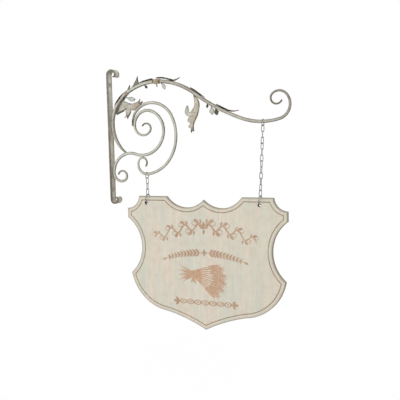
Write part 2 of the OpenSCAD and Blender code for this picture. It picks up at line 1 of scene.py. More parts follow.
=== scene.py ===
"""Wall-hung shop sign: forged iron bracket with painted leaves, chains, rings and a limed board.

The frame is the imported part's: X out from the wall, Y across the board, Z up. Formulas and sizes are in mm
and degrees, and make_piece turns them into metres. Every surface is a grid worked out from a formula.
"""

import bpy
import numpy as np
from mathutils import Matrix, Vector
from mathutils.geometry import tessellate_polygon


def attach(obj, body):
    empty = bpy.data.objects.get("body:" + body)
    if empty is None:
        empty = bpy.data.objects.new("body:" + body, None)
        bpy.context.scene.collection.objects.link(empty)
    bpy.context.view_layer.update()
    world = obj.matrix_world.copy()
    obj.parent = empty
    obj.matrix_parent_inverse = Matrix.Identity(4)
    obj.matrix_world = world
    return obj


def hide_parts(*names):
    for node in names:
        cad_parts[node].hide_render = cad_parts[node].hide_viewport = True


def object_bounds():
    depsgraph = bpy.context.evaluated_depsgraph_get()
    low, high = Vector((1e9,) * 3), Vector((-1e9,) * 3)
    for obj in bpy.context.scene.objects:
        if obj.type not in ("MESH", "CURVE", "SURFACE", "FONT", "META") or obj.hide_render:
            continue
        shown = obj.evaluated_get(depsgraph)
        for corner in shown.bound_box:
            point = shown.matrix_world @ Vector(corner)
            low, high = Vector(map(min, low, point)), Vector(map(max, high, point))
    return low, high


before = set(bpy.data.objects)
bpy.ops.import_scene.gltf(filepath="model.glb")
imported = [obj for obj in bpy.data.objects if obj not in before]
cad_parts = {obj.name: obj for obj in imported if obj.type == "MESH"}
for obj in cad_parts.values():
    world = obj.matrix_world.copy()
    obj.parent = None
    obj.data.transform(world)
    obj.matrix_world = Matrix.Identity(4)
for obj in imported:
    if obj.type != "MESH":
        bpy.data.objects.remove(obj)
packed_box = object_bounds()

MM = 0.001
TAU = 2 * np.pi


# Meshes from grids


def unit(values):
    """Values held between 0 and 1."""
    return np.clip(values, 0, 1)


def lookup(t, pairs):
    """Values at t between pairs of place and value."""
    return np.interp(t, [pair[0] for pair in pairs], [pair[1] for pair in pairs])


def full_turn(n):
    """n angles in even steps round a full turn."""
    return np.arange(n) * TAU / n


def aimed(headings):
    """Unit vectors [x, z] along headings in radians."""
    return np.stack([np.cos(headings), np.sin(headings)], -1)


def soft_noise(a, b, seed):
    """Smooth wobble between about -1 and 1: a sum of five sine waves whose directions come from the seed."""
    rng = np.random.default_rng(seed)
    total = np.zeros(np.broadcast(a, b).shape)
    for scale in (0.7, 1.0, 1.6, 2.3, 3.1):
        way = rng.uniform(0, TAU)
        total = total + np.sin(scale * (a * np.cos(way) + b * np.sin(way)) + rng.uniform(0, TAU)) / scale
    return total / 2.2


def dents(a, b, seed):
    """The half of the wobble above 0, which leaves smooth ground between its hollows."""
    return unit(soft_noise(a, b, seed))


def grid_faces(rows, columns, looped=False):
    """Quads of a grid of points that is joined round its columns, and round its rows too when looped."""
    i, j = np.meshgrid(np.arange(rows if looped else rows - 1), np.arange(columns), indexing="ij")
    a, b = i * columns + j, i * columns + (j + 1) % columns
    return (np.stack([a, b, b + columns, a + columns], -1) % (rows * columns)).reshape(-1, 4)


def end_caps(rows, columns):
    """The first and the last row of a grid as two flat faces."""
    return [list(range(columns))[::-1], list(range((rows - 1) * columns, rows * columns))]


def sheet_faces(rows, columns):
    """Faces of a thin sheet whose rows run along its front face and back along its other one."""
    k = np.arange(columns - 1)
    cap = np.stack([k, k + 1, 2 * columns - 2 - k, 2 * columns - 1 - k], -1)
    return np.concatenate([grid_faces(rows, 2 * columns), cap[:, ::-1], (rows - 1) * 2 * columns + cap])


def bridge(loop, other):
    """Quads between two loops of as many point numbers."""
    return np.stack([loop, np.roll(loop, -1), np.roll(other, -1), other], -1)


def outward(points, faces):
    """The faces, turned round if the volume that they enclose comes out negative."""
    volume = 0.0
    for size in {len(face) for face in faces}:
        corners = points[np.array([face for face in faces if len(face) == size])]
        for k in range(1, size - 1):
            volume += np.einsum("ij,ij->i", corners[:, 0], np.cross(corners[:, k], corners[:, k + 1])).sum()
    return faces if volume > 0 else [face[::-1] for face in faces]


def make_piece(name, points, faces, body, stands_for, materials, masks=None, slots=None, sharp=40):
    """Puts points in mm and faces into a mesh object on a body, in place of the CAD node that it stands for.

    Masks are values per point that the materials read by name, and slots are the faces' material numbers.
    Edges sharper than a number of degrees stay crisp.
    """
    points = np.reshape(points, (-1, 3)) * MM
    mesh = bpy.data.meshes.new(name)
    mesh.from_pydata(points.tolist(), [], outward(points, [list(map(int, face)) for face in faces]))
    mesh.polygons.foreach_set("use_smooth", np.ones(len(mesh.polygons), bool))
    mesh.set_sharp_from_angle(angle=np.radians(sharp))
    for mask, values in (masks or {}).items():
        layer = mesh.attributes.new(mask, "FLOAT", "POINT")
        layer.data.foreach_set("value", np.asarray(values, np.float32).ravel())
    piece = bpy.data.objects.new(name, mesh)
    bpy.context.scene.collection.objects.link(piece)
    for material in materials:
        mesh.materials.append(material)
    if slots is not None:
        mesh.polygons.foreach_set("material_index", np.asarray(slots, np.int32))
    mesh.update()
    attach(piece, body)
    if stands_for:
        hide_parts(stands_for)


# Bends, as in the part's own source: an arc is [radius, turn], anticlockwise positive


def bent_path(start, heading, arcs, step=1.2):
    """Stations x, z, heading in radians and distance along arcs that follow each other."""
    x, z = start
    h, done = np.radians(heading), 0.0
    parts = [np.array([[x, z, h, 0.0]])]
    for radius, turn in arcs:
        t = np.radians(turn)
        n = max(3, int(np.ceil(abs(t) * radius / step)))
        a = h + t * np.arange(1, n + 1) / n
        xs = x + np.sign(t) * radius * (np.sin(a) - np.sin(h))
        zs = z - np.sign(t) * radius * (np.cos(a) - np.cos(h))
        parts.append(np.stack([xs, zs, a, done + np.abs(a - h) * radius], -1))
        x, z, h, done = parts[-1][-1]
    return np.concatenate(parts)


def turned_back(path):
    """The same stations met from their far end, without the first one."""
    back = path[:0:-1].copy()
    back[:, 2] += np.pi
    back[:, 3] *= -1
    return back


def station(path, distance):
    """Stations at given distances along a path, each column interpolated."""
    return np.stack([np.interp(distance, path[:, 3], path[:, k]) for k in range(path.shape[1])], -1)


def beside(stations, offset):
    """Points [x, z] at an offset to the left of each station's heading."""
    return np.stack([stations[..., 0] - offset * np.sin(stations[..., 2]),
                     stations[..., 1] + offset * np.cos(stations[..., 2])], -1)


def turned_round(stations, r, a):
    """Points round stations, at a distance r and an angle a: 0 is left of the heading and 90 towards +Y."""
    flat = beside(stations, r * np.cos(a))
    return np.stack([flat[..., 0], r * np.sin(a), flat[..., 1]], -1)


def crossing(path, heading):
    """Distance of the last place at which a path's heading passes a value, in degrees."""
    gap = path[:, 2] - np.radians(heading)
    k = np.nonzero(gap[:-1] * gap[1:] <= 0)[0][-1]
    return path[k, 3] + (path[k + 1, 3] - path[k, 3]) * gap[k] / (gap[k] - gap[k + 1])


# Sizes of the bracket, as the part's source names them

BAR_W, BAR_T, HOLE_SPACING, BAR_END = 20.0, 4.0, 250.0, 36.0
TOP_CURL_R, LOW_CURL_R, ROLL_R = 11.0, 9.0, 4.5
SCREW_HOLE_R = 2.75
ARM_D, ARM_HANG_D, ARM_TIP_D = 9.2, 7.6, 3.8
SCROLL_D, TIP_D, OUTER_D, OUTER_GROW = 7.2, 3.8, 7.2, 40.0
ARM_WELD_Z, SCROLL_WELD_Z, CREST_R = 30.0, -86.0, 170.0
LEAF_T = 1.4
WELD = 0.1

arm_start = (BAR_T + ARM_D / 2, ARM_WELD_Z)
arm_rise = bent_path(arm_start, 90,
                     [(86, -57), (150, -37), (CREST_R, -32), (458, 16), (146, 35), (32, 117), (22, 87),
                      (13, 202)])
arm_foot = bent_path(arm_start, 270, [(84, 54.5)])
arm_length, foot_length = arm_rise[-1, 3], arm_foot[-1, 3]
hang_s = crossing(arm_rise, 0)

inner_start = (BAR_T + SCROLL_D / 2, SCROLL_WELD_Z)
inner_rise = bent_path(inner_start, 90, [(47, -108), (59, 102), (48, 75), (34, 115), (23, 133), (12, 187)])
inner_toe = bent_path(inner_start, 270, [(20, 115), (12, 225)])
inner_length, toe_length = inner_rise[-1, 3], inner_toe[-1, 3]

ring_left = station(inner_rise, crossing(inner_rise, 270))
outer_rise = bent_path((ring_left[0] - (SCROLL_D + TIP_D) / 2 - WELD, ring_left[1]), 94,
                       [(47, -71), (59, -87), (98, -53), (86, -56), (23, -119), (11.5, -201)])
outer_hang_s = crossing(outer_rise, -180)
near_top = station(outer_rise, outer_hang_s)[:2]


def arm_half(s):
    """Half thickness of the arm at a distance from its start, with the foot before it."""
    return lookup(s, [(-foot_length, SCROLL_D / 3), (-foot_length / 3, ARM_D / 2), (0, ARM_D / 2),
                      (hang_s, ARM_HANG_D / 2), (arm_length, ARM_TIP_D / 2)])


def inner_half(s):
    """Half thickness of the inner scroll, with the toe before its start."""
    return lookup(s, [(-toe_length, TIP_D / 2), (-toe_length / 2, SCROLL_D * 0.44), (0, SCROLL_D / 2),
                      (inner_length * 0.7, SCROLL_D / 2), (inner_length, TIP_D / 2)])


def outer_half(s):
    """Half thickness of the outer scroll."""
    return lookup(s, [(0, TIP_D / 2), (OUTER_GROW, OUTER_D / 2), (outer_hang_s, OUTER_D * 0.46),
                      (outer_rise[-1, 3], TIP_D / 2)])


# Shared effects, each a node group with named inputs and outputs


def node_group(name, inputs, outputs):
    """A node group with inputs of default values (None for a vector) and float outputs, and its sockets."""
    group = bpy.data.node_groups.new(name, "ShaderNodeTree")
    for label, value in inputs.items():
        kind = "NodeSocketVector" if value is None else "NodeSocketFloat"
        socket = group.interface.new_socket(label, in_out="INPUT", socket_type=kind)
        if value is not None:
            socket.default_value = value
    for label in outputs:
        group.interface.new_socket(label, in_out="OUTPUT", socket_type="NodeSocketFloat")
    return group, group.nodes.new("NodeGroupInput").outputs, group.nodes.new("NodeGroupOutput").inputs


def node(tree, kind, links=None, **settings):
    """A node with its settings made and its inputs linked or set, by socket name or number."""
    made = tree.nodes.new(kind)
    for key, value in settings.items():
        setattr(made, key, value)
    for key, value in (links or {}).items():
        if isinstance(value, bpy.types.NodeSocket):
            tree.links.new(value, made.inputs[key])
        else:
            made.inputs[key].default_value = value
    return made


def noise(tree, place, scale, detail=4.0, rough=0.55):
    """Noise from about 0.2 to 0.8 at a scale in waves per metre."""
    links = {"Vector": place, "Scale": scale, "Detail": detail, "Roughness": rough}
    return node(tree, "ShaderNodeTexNoise", links).outputs["Fac"]


def spread(tree, value, low, high, start=0.0, end=1.0):
    """The value with low to high drawn out to start to end, held at its ends."""
    return node(tree, "ShaderNodeMapRange", {"Value": value, "From Min": low, "From Max": high,
                                             "To Min": start, "To Max": end}).outputs["Result"]


def maths(tree, operation, a, b):
    """The result of one operation on two values."""
    return node(tree, "ShaderNodeMath", {0: a, 1: b}, operation=operation).outputs[0]


def times(tree, a, b):
    """One value times another."""
    return maths(tree, "MULTIPLY", a, b)


def mixed(tree, amount, a, b):
    """Colour b over colour a by an amount."""
    return node(tree, "ShaderNodeMix", {"Factor": amount, "A": a, "B": b}, data_type="RGBA").outputs["Result"]


def drawn_out(tree, place, share):
    """Places with their height shrunk to a share, so that noise runs in streaks up the board."""
    return node(tree, "ShaderNodeMapping", {"Vector": place, "Scale": (1.0, 1.0, share)}).outputs[0]


def chipped_group():
    """Worn places in paint: an edge mask roughened by two noises, and the step down to the metal."""
    group, given, result = node_group("chipped paint",
                                      {"Place": None, "Edge": 0.0, "Amount": 0.5, "Size": 180.0},
                                      ["Worn", "Stain", "Height"])
    coarse = noise(group, given["Place"], given["Size"], 3.0)
    fine = noise(group, given["Place"], times(group, given["Size"], 5.0), 3.0, 0.6)
    rough = maths(group, "ADD", times(group, coarse, 0.7), times(group, fine, 0.3))
    pushed = maths(group, "ADD", rough, times(group, given["Edge"], given["Amount"]))
    worn = spread(group, pushed, 0.72, 0.84)
    group.links.new(worn, result["Worn"])
    group.links.new(spread(group, pushed, 0.42, 0.85), result["Stain"])
    group.links.new(maths(group, "SUBTRACT", times(group, fine, 0.5), worn), result["Height"])
    return group


def grain_group():
    """Wood grain that runs up the board: noise drawn out along Z, in fine streaks and broad bands."""
    group, given, result = node_group("brushed grain", {"Place": None, "Fine": 520.0, "Broad": 46.0},
                                      ["Streak", "Band", "Height"])
    fine = noise(group, drawn_out(group, given["Place"], 0.035), given["Fine"], 4.0, 0.6)
    band = noise(group, drawn_out(group, given["Place"], 0.12), given["Broad"])
    group.links.new(spread(group, fine, 0.35, 0.65), result["Streak"])
    group.links.new(spread(group, band, 0.32, 0.68), result["Band"])
    group.links.new(fine, result["Height"])
    return group


CHIPPED = chipped_group()
GRAIN = grain_group()


# Materials. Colours are named by their screen values from 0 to 255


def colour(red, green, blue):
    """A screen colour as linear light."""
    c = np.array([red, green, blue]) / 255.0
    linear = np.where(c <= 0.04045, c / 12.92, ((c + 0.055) / 1.055) ** 2.4)
    return (*linear.tolist(), 1.0)


def new_material(name, roughness, metallic=0.0, specular=0.5):
    """A material with one shader: itself, its tree, the shader's inputs and the place on the object."""
    material = bpy.data.materials.new(name)
    material.use_nodes = True
    tree = material.node_tree
    tree.nodes.clear()
    shader = node(tree, "ShaderNodeBsdfPrincipled", {"Roughness": roughness, "Metallic": metallic,
                                                     "Specular IOR Level": specular})
    node(tree, "ShaderNodeOutputMaterial", {"Surface": shader.outputs[0]})
    return material, tree, shader, tree.nodes.new("ShaderNodeTexCoord").outputs["Object"]


def cover(tree, shader, base, height, strength, depth):
    """Gives a shader its base colour and a bump of a depth in mm."""
    tree.links.new(base, shader.inputs["Base Color"])
    bump = node(tree, "ShaderNodeBump", {"Height": height, "Strength": strength, "Distance": depth * MM})
    tree.links.new(bump.outputs[0], shader.inputs["Normal"])


def attribute(tree, name):
    """A mask that the mesh carries."""
    return node(tree, "ShaderNodeAttribute", attribute_name=name).outputs["Fac"]


def painted_iron(name, pale, deep, rust, amount, size, shade_and_patina=(54, 53, 42)):
    """Chalky paint on forged iron: three tints, painted shade and patina by a mask, stains and bare patches.
    """
    material, tree, shader, place = new_material(name, 0.66, specular=0.22)
    chip = node(tree, "ShaderNodeGroup", {"Place": place, "Edge": attribute(tree, "wear"), "Amount": amount,
                                          "Size": size}, node_tree=CHIPPED).outputs
    tint = mixed(tree, spread(tree, noise(tree, place, 55.0), 0.35, 0.65), colour(*pale), colour(*deep))
    drift = spread(tree, noise(tree, place, 38.0, 3.0), 0.38, 0.62)
    warm = mixed(tree, times(tree, attribute(tree, "warm"), drift), tint, colour(176, 156, 140))
    # Painted shade, with some patina: the shade mask, mottled by noise, darkens the paint towards a dark
    # colour.
    shade_mottle = spread(tree, noise(tree, place, 240.0, 4.0, 0.6), 0.3, 0.6, 0.62, 0.97)
    shaded = mixed(tree, times(tree, attribute(tree, "shade"), shade_mottle), warm, colour(*shade_and_patina))
    stained = mixed(tree, times(tree, chip["Stain"], 0.55), shaded, colour(*rust))
    bare = mixed(tree, chip["Worn"], stained, colour(*(0.62 * np.array(rust))))
    cover(tree, shader, bare, chip["Height"], 0.35, 0.6)
    tree.links.new(spread(tree, chip["Worn"], 0.0, 1.0, 0.62, 0.45), shader.inputs["Roughness"])
    return material


def bright_wire(name):
    """Zinc-plated wire: pale metal with a faint mottle."""
    material, tree, shader, place = new_material(name, 0.34, 0.85)
    mottle = spread(tree, noise(tree, place, 420.0, 3.0), 0.3, 0.7)
    cover(tree, shader, mixed(tree, mottle, colour(166, 165, 160), colour(118, 116, 110)), mottle, 0.2, 0.2)
    tree.links.new(spread(tree, mottle, 0.0, 1.0, 0.28, 0.46), shader.inputs["Roughness"])
    return material


def limed_wood(name, pale, green, pink, streak):
    """Limed board: cream paint brushed thin, with greenish and pinkish bands and dark streaks up it."""
    material, tree, shader, place = new_material(name, 0.7, specular=0.3)
    grain = node(tree, "ShaderNodeGroup", {"Place": place, "Fine": 520.0, "Broad": 46.0},
                 node_tree=GRAIN).outputs
    blotch = spread(tree, noise(tree, drawn_out(tree, place, 0.16), 34.0), 0.42, 0.62)
    cloud = spread(tree, noise(tree, place, 70.0, 5.0, 0.65), 0.45, 0.7, 0.0, 0.55)
    across = node(tree, "ShaderNodeSeparateXYZ", {"Vector": place}).outputs["X"]
    shade = mixed(tree, grain["Band"], colour(*pale), colour(*green))
    # Painted shade: the board darkens towards its right side, X from 0.18 to 0.42 m, beside its streaks and
    # worn edges.
    for amount, over in ((times(tree, blotch, 0.6), pink), (cloud, streak),
                         (times(tree, grain["Streak"], 0.5), streak),
                         (spread(tree, across, 0.18, 0.42, 0.0, 0.22), streak),
                         (times(tree, attribute(tree, "wear"), 0.75), (150, 141, 123))):
        shade = mixed(tree, amount, shade, colour(*over))
    cover(tree, shader, shade, grain["Height"], 0.3, 0.4)
    return material


def stained_paint(name, main, light, dark):
    """Thin brown paint in the groove and the ornament, with the grain showing through."""
    material, tree, shader, place = new_material(name, 0.68, specular=0.3)
    grain = node(tree, "ShaderNodeGroup", {"Place": place, "Fine": 520.0, "Broad": 120.0},
                 node_tree=GRAIN).outputs
    base = mixed(tree, spread(tree, noise(tree, place, 160.0), 0.35, 0.65), colour(*main), colour(*light))
    lined = mixed(tree, times(tree, grain["Streak"], 0.55), base, colour(*dark))
    cover(tree, shader, lined, grain["Height"], 0.25, 0.3)
    return material


cream_iron = painted_iron("cream paint on iron", (211, 210, 199), (190, 190, 176), (150, 132, 114), 0.30,
                          150.0)
olive_iron = painted_iron("olive paint on the wall bar", (210, 209, 196), (178, 176, 162), (138, 118, 102),
                          0.28, 120.0, (72, 70, 58))
leaf_iron = painted_iron("pale paint on the leaves", (210, 209, 195), (174, 174, 158), (150, 128, 108), 0.34,
                         190.0, (52, 50, 38))
spear_iron = painted_iron("olive paint on the spear leaves", (160, 161, 146), (118, 119, 104), (104, 90, 74),
                          0.36, 190.0, (44, 44, 34))
brown_iron = painted_iron("brown paint on the hanging leaf", (206, 202, 186), (180, 171, 152), (138, 112, 90),
                          0.38, 190.0, (58, 52, 40))
pale_iron = painted_iron("grey paint on the oval leaves", (200, 206, 199), (168, 176, 168), (150, 132, 114),
                         0.30, 190.0, (78, 80, 70))
dark_iron = painted_iron("rubbed paint on the twigs", (92, 88, 73), (66, 63, 50), (92, 74, 58), 0.30, 190.0,
                         (34, 32, 24))
bud_iron = painted_iron("tan paint on the bud", (188, 176, 152), (166, 150, 126), (128, 96, 74), 0.36, 160.0)
wire_steel = bright_wire("zinc-plated wire")
board_paint = limed_wood("limed paint on the board", (219, 212, 198), (198, 204, 193), (229, 206, 190),
                         (194, 187, 169))
# Painted shade: the board's edge faces get a darker copy of its limed paint.
edge_shade_paint = limed_wood("painted shade on the board's edge", (134, 129, 112), (118, 116, 101), (136, 120, 105),
                        (104, 98, 84))
# Painted shade: the bores of the holes are painted near black, as shade inside them.
bore_shade_paint = stained_paint("painted shade in the holes", (44, 36, 30), (62, 52, 42), (28, 24, 20))
groove_paint = stained_paint("brown paint in the groove", (162, 138, 114), (184, 166, 144), (140, 116, 93))
ornament_line = stained_paint("brown paint of the borders", (180, 148, 122), (196, 172, 150), (152, 120, 96))
ornament_paint = stained_paint("terracotta paint", (188, 152, 124), (202, 172, 146), (166, 130, 104))


# Bars of the bracket


def forged_bar(node_name, path, half_at, seed, darkening=((0, 0),), warm=((0, 0),)):
    """Round bar carried along a path.

    At angle a round a station the surface lies r (1 - 0.035 dent) from the path. Both ends close in a half
    dome of seven rings. Darkening is a lookup along the bar of how much its painted shade deepens, and warm
    of how brown its paint is.
    """
    lean = np.radians([12, 27, 42, 56, 69, 80, 87])
    a = full_turn(28)
    halves = half_at(path[:, 3])

    def dome(q, r, way):
        reach = way * r * np.sin(lean)
        return np.stack([q[0] + reach * np.cos(q[2]), q[1] + reach * np.sin(q[2]), q[2] + 0 * reach,
                         q[3] + reach], -1)

    full = np.concatenate([dome(path[0], halves[0], -1)[::-1], path, dome(path[-1], halves[-1], 1)])
    radii = np.concatenate([(halves[0] * np.cos(lean))[::-1], halves, halves[-1] * np.cos(lean)])[:, None]
    s = full[:, 3:]
    r = radii * (1 - 0.035 * dents(s * 0.28, 2.2 * np.cos(a) + 1.3 * np.sin(2 * a), seed))
    along = (s - s[0]) / (s[-1] - s[0])
    tips = np.maximum(np.exp(-along * 16), np.exp(-(1 - along) * 16))
    # Painted shade: the bar's sides, away from its front and back, are darkened, and so are its tips.
    side = unit((np.abs(np.cos(a)) - 0.42) / 0.36)
    shade_wobble = 0.8 + 0.2 * soft_noise(s * 0.12, np.cos(a), seed + 13)
    masks = {"wear": unit(tips * 0.9 + 0.4 * dents(s * 0.05, np.cos(a) * 1.5, seed + 7)),
             "shade": unit(side * shade_wobble + tips ** 2 * 0.5 + lookup(along, darkening)),
             "warm": lookup(along, warm) + 0 * a}
    faces = grid_faces(*r.shape).tolist() + end_caps(*r.shape)
    make_piece("forged_" + node_name, turned_round(full[:, None, :], r, a), faces, "bracket", node_name,
               [cream_iron], masks)


forged_bar("arm", np.concatenate([turned_back(arm_foot), arm_rise]), arm_half, 3,
           ((0, 0.1), (0.3, 0.1), (0.45, 0.25), (0.62, 0.12), (0.78, 0.3), (0.9, 0.5), (1, 0.65)),
           ((0, 0), (0.34, 0), (0.42, 0.9), (0.58, 0.9), (0.66, 0.2), (1, 0.1)))
forged_bar("inner_scroll", np.concatenate([turned_back(inner_toe), inner_rise]), inner_half, 5,
           ((0, 0.2), (0.1, 0), (0.85, 0), (0.95, 0.4), (1, 0.5)))
forged_bar("outer_scroll", outer_rise, outer_half, 9, ((0, 0.15), (0.2, 0), (0.9, 0), (1, 0.4)))


# Wall bar


def make_wall_bar():
    """The flat bar: a softened rectangle carried along its straight run and both curls, with two screw holes.

    The outer face is lowered by smooth dents. Round each hole a window of the grid is left out on both faces,
    and rings that change from the window's square to the hole's circle fill it. The outer hole has a chamfer.
    """
    soft, window, cells = 0.8, 7.0, 8
    half_w, half_t, hole = BAR_W / 2, BAR_T / 2, HOLE_SPACING / 2
    top_start = hole + BAR_END - TOP_CURL_R - half_t
    low_start = -hole - BAR_END + LOW_CURL_R + half_t
    top = bent_path((half_t, top_start), 90, [(TOP_CURL_R, -180), (ROLL_R, -110)], 0.8)
    low = turned_back(bent_path((half_t, low_start), 270, [(LOW_CURL_R, 180), (ROLL_R, 110)], 0.8))
    low[:, 2] -= TAU
    top[:, 3] += top_start - low_start
    span = np.linspace(-window, window, cells + 1)
    z = np.concatenate([np.linspace(low_start, -hole - window, 12)[:-1], -hole + span,
                        np.linspace(-hole + window, hole - window, 120)[1:-1], hole + span,
                        np.linspace(hole + window, top_start, 10)[1:-1]])
    path = np.concatenate([low, np.stack([half_t + 0 * z, z, np.pi / 2 + 0 * z, z - low_start], -1), top])
    a = np.radians([22.5, 45.0, 67.5, 90.0])
    side_y, side_q = half_w - soft + soft * np.sin(a), half_t - soft + soft * np.cos(a)
    half_y = np.concatenate([[-9.2, -8.1], span, [8.1, 9.2], side_y, side_y[::-1]])
    half_q = np.concatenate([np.full(cells + 5, -half_t), -side_q, side_q[::-1]])
    ys, qs = np.concatenate([half_y, -half_y]), np.concatenate([half_q, -half_q])
    rows, columns = len(path), len(ys)
    s = path[:, 3:]
    from_end = np.minimum(s - s[0], s[-1] - s)
    hammered = 0.13 * unit(-qs / half_t) * dents(s * 0.22, ys * 0.35, 21)
    off = qs * np.interp(from_end, [0, 14], [0.72, 1.0]) + hammered
    flat = beside(path[:, None, :], off)
    wide = ys * (1 - 0.012 * dents(s * 0.16, np.sign(ys) * 2.0, 22))
    points = np.stack([flat[..., 0], wide, flat[..., 1]], -1).reshape(-1, 3)
    faces = grid_faces(rows, columns)
    row_of, column_of = np.divmod(np.arange(len(faces)), columns)
    keep = np.ones(len(faces), bool)
    k, last = np.arange(cells), np.full(cells, cells)
    square_row = np.concatenate([0 * k, k, last, last - k])
    square_column = np.concatenate([k, last, last - k, 0 * k])
    new_points, new_faces, total = [], [], len(points)
    for centre in (-hole, hole):
        r0 = len(low) + int(np.argmin(np.abs(z - (centre - window))))
        rims = []
        for c0, chamfer in ((2, 0.35), (2 + columns // 2, 0.0)):
            keep &= (row_of < r0) | (row_of >= r0 + cells) | (column_of < c0) | (column_of >= c0 + cells)
            loop = (square_row + r0) * columns + square_column + c0
            x, y, up = (points[loop] - [0, 0, centre]).T
            t = np.arctan2(up, y)
            rings = [(0.45, SCREW_HOLE_R + chamfer, x), (0.0, SCREW_HOLE_R + chamfer, x)]
            if chamfer:
                rings.append((0.0, SCREW_HOLE_R, BAR_T - 2 * chamfer + 0 * x))
            for share, radius, ring_x in rings:
                new_points.append(np.stack([ring_x, share * y + (1 - share) * radius * np.cos(t),
                                            centre + share * up + (1 - share) * radius * np.sin(t)], -1))
                ring = total + np.arange(len(t))
                new_faces.append(bridge(loop, ring))
                loop, total = ring, total + len(t)
            rims.append((loop, t))
        (outer_rim, outer_t), (inner_rim, inner_t) = rims
        match = np.array([inner_rim[np.argmin(np.abs((inner_t - k + np.pi) % TAU - np.pi))] for k in outer_t])
        new_faces.append(bridge(outer_rim, match))
    # Painted shade: darker towards the face's edges and on the sides, and towards the ends into the curls,
    # with a mottle.
    border = unit((np.abs(ys) / half_w - 0.5) / 0.4)
    wear = unit(0.35 * (np.abs(ys) / half_w) ** 8 + np.exp(-from_end / 9) * 0.5
                + 0.35 * dents(s * 0.05, ys * 0.1, 23))
    shade = unit(0.04 + 0.8 * border + 0.22 * dents(s * 0.03, ys * 0.05, 24) + np.exp(-from_end / 16) * 0.3)
    warm = lookup(path[:, 1:2], [(-130, 0.1), (-100, 0.7), (-10, 0.7), (40, 0.0)]) + 0 * ys
    by_hole = {"wear": (wear, 0.4), "shade": (shade, 0.4), "warm": (warm, 0.2)}
    masks = {name: np.append(mask, np.full(total - len(points), value))
             for name, (mask, value) in by_hole.items()}
    faces = np.concatenate([faces[keep]] + new_faces).tolist() + end_caps(rows, columns)
    make_piece("flat_wall_bar", np.concatenate([points] + new_points), faces, "bracket", "wall_bar",
               [olive_iron], masks)


make_wall_bar()


# Leaves of hammered sheet, each on a grid of t from its root to its tip and v from -1 to 1 across it


def row_on_arm(s1, s2, side, v, extra=0.0):
    """Points [x, z] on the arm's surface between two distances, above it (side 1) or below it (side -1)."""
    s = s1 + (s2 - s1) * (1 + side * v) / 2
    return beside(station(arm_rise, s), side * (arm_half(s) + WELD + extra))


def by_arm(s, offset):
    """Points [x, z] at distances along the arm and offsets above its middle."""
    return beside(station(arm_rise, s), offset)


def smooth_line(points, n):
    """n points on the curve that passes through the given points with the slopes of their neighbours."""
    points = np.asarray(points, float)
    padded = np.concatenate([[2 * points[0] - points[1]], points, [2 * points[-1] - points[-2]]])
    t = np.linspace(0, len(points) - 1, n)
    k = np.minimum(t.astype(int), len(points) - 2)
    f = (t - k)[:, None]
    a, b, c, d = padded[k], padded[k + 1], padded[k + 2], padded[k + 3]
    return 0.5 * (2 * b + (c - a) * f + (2 * a - 5 * b + 4 * c - d) * f ** 2
                  + (3 * b - a - 3 * c + d) * f ** 3)


def rounded(t, pairs):
    """As lookup, along a smooth line through the pairs, and never under a quarter of a millimetre."""
    line = smooth_line(pairs, 40 * len(pairs))
    return np.maximum(np.interp(t, np.maximum.accumulate(line[:, 0]), line[:, 1]), 0.25)


def rows_along(rib, t, v, left, right, fork=0.0):
    """Points [x, z] across a midrib: widths looked up for each side, the tip's middle cut back by a fork."""
    q = station(rib, t * rib[-1, 3])[:, None, :]
    flat = beside(q, rounded(t, left)[:, None] * (1 - v) / 2 - rounded(t, right)[:, None] * (1 + v) / 2)
    back = fork * t[:, None] ** 4 * unit(1 - np.abs(v) / 0.6)
    return flat - back[..., None] * aimed(q[..., 2])


def closed_sheet(node_name, front, back, material, masks):
    """Joins the front and back grids of a sheet round its four edges and makes the piece."""
    both = {mask: np.concatenate([values, values[:, ::-1]], 1) for mask, values in masks.items()}
    make_piece("leaf_" + node_name, np.concatenate([front, back[:, ::-1]], 1), sheet_faces(*front.shape[:2]),
               "bracket", node_name, [material], both, sharp=60)


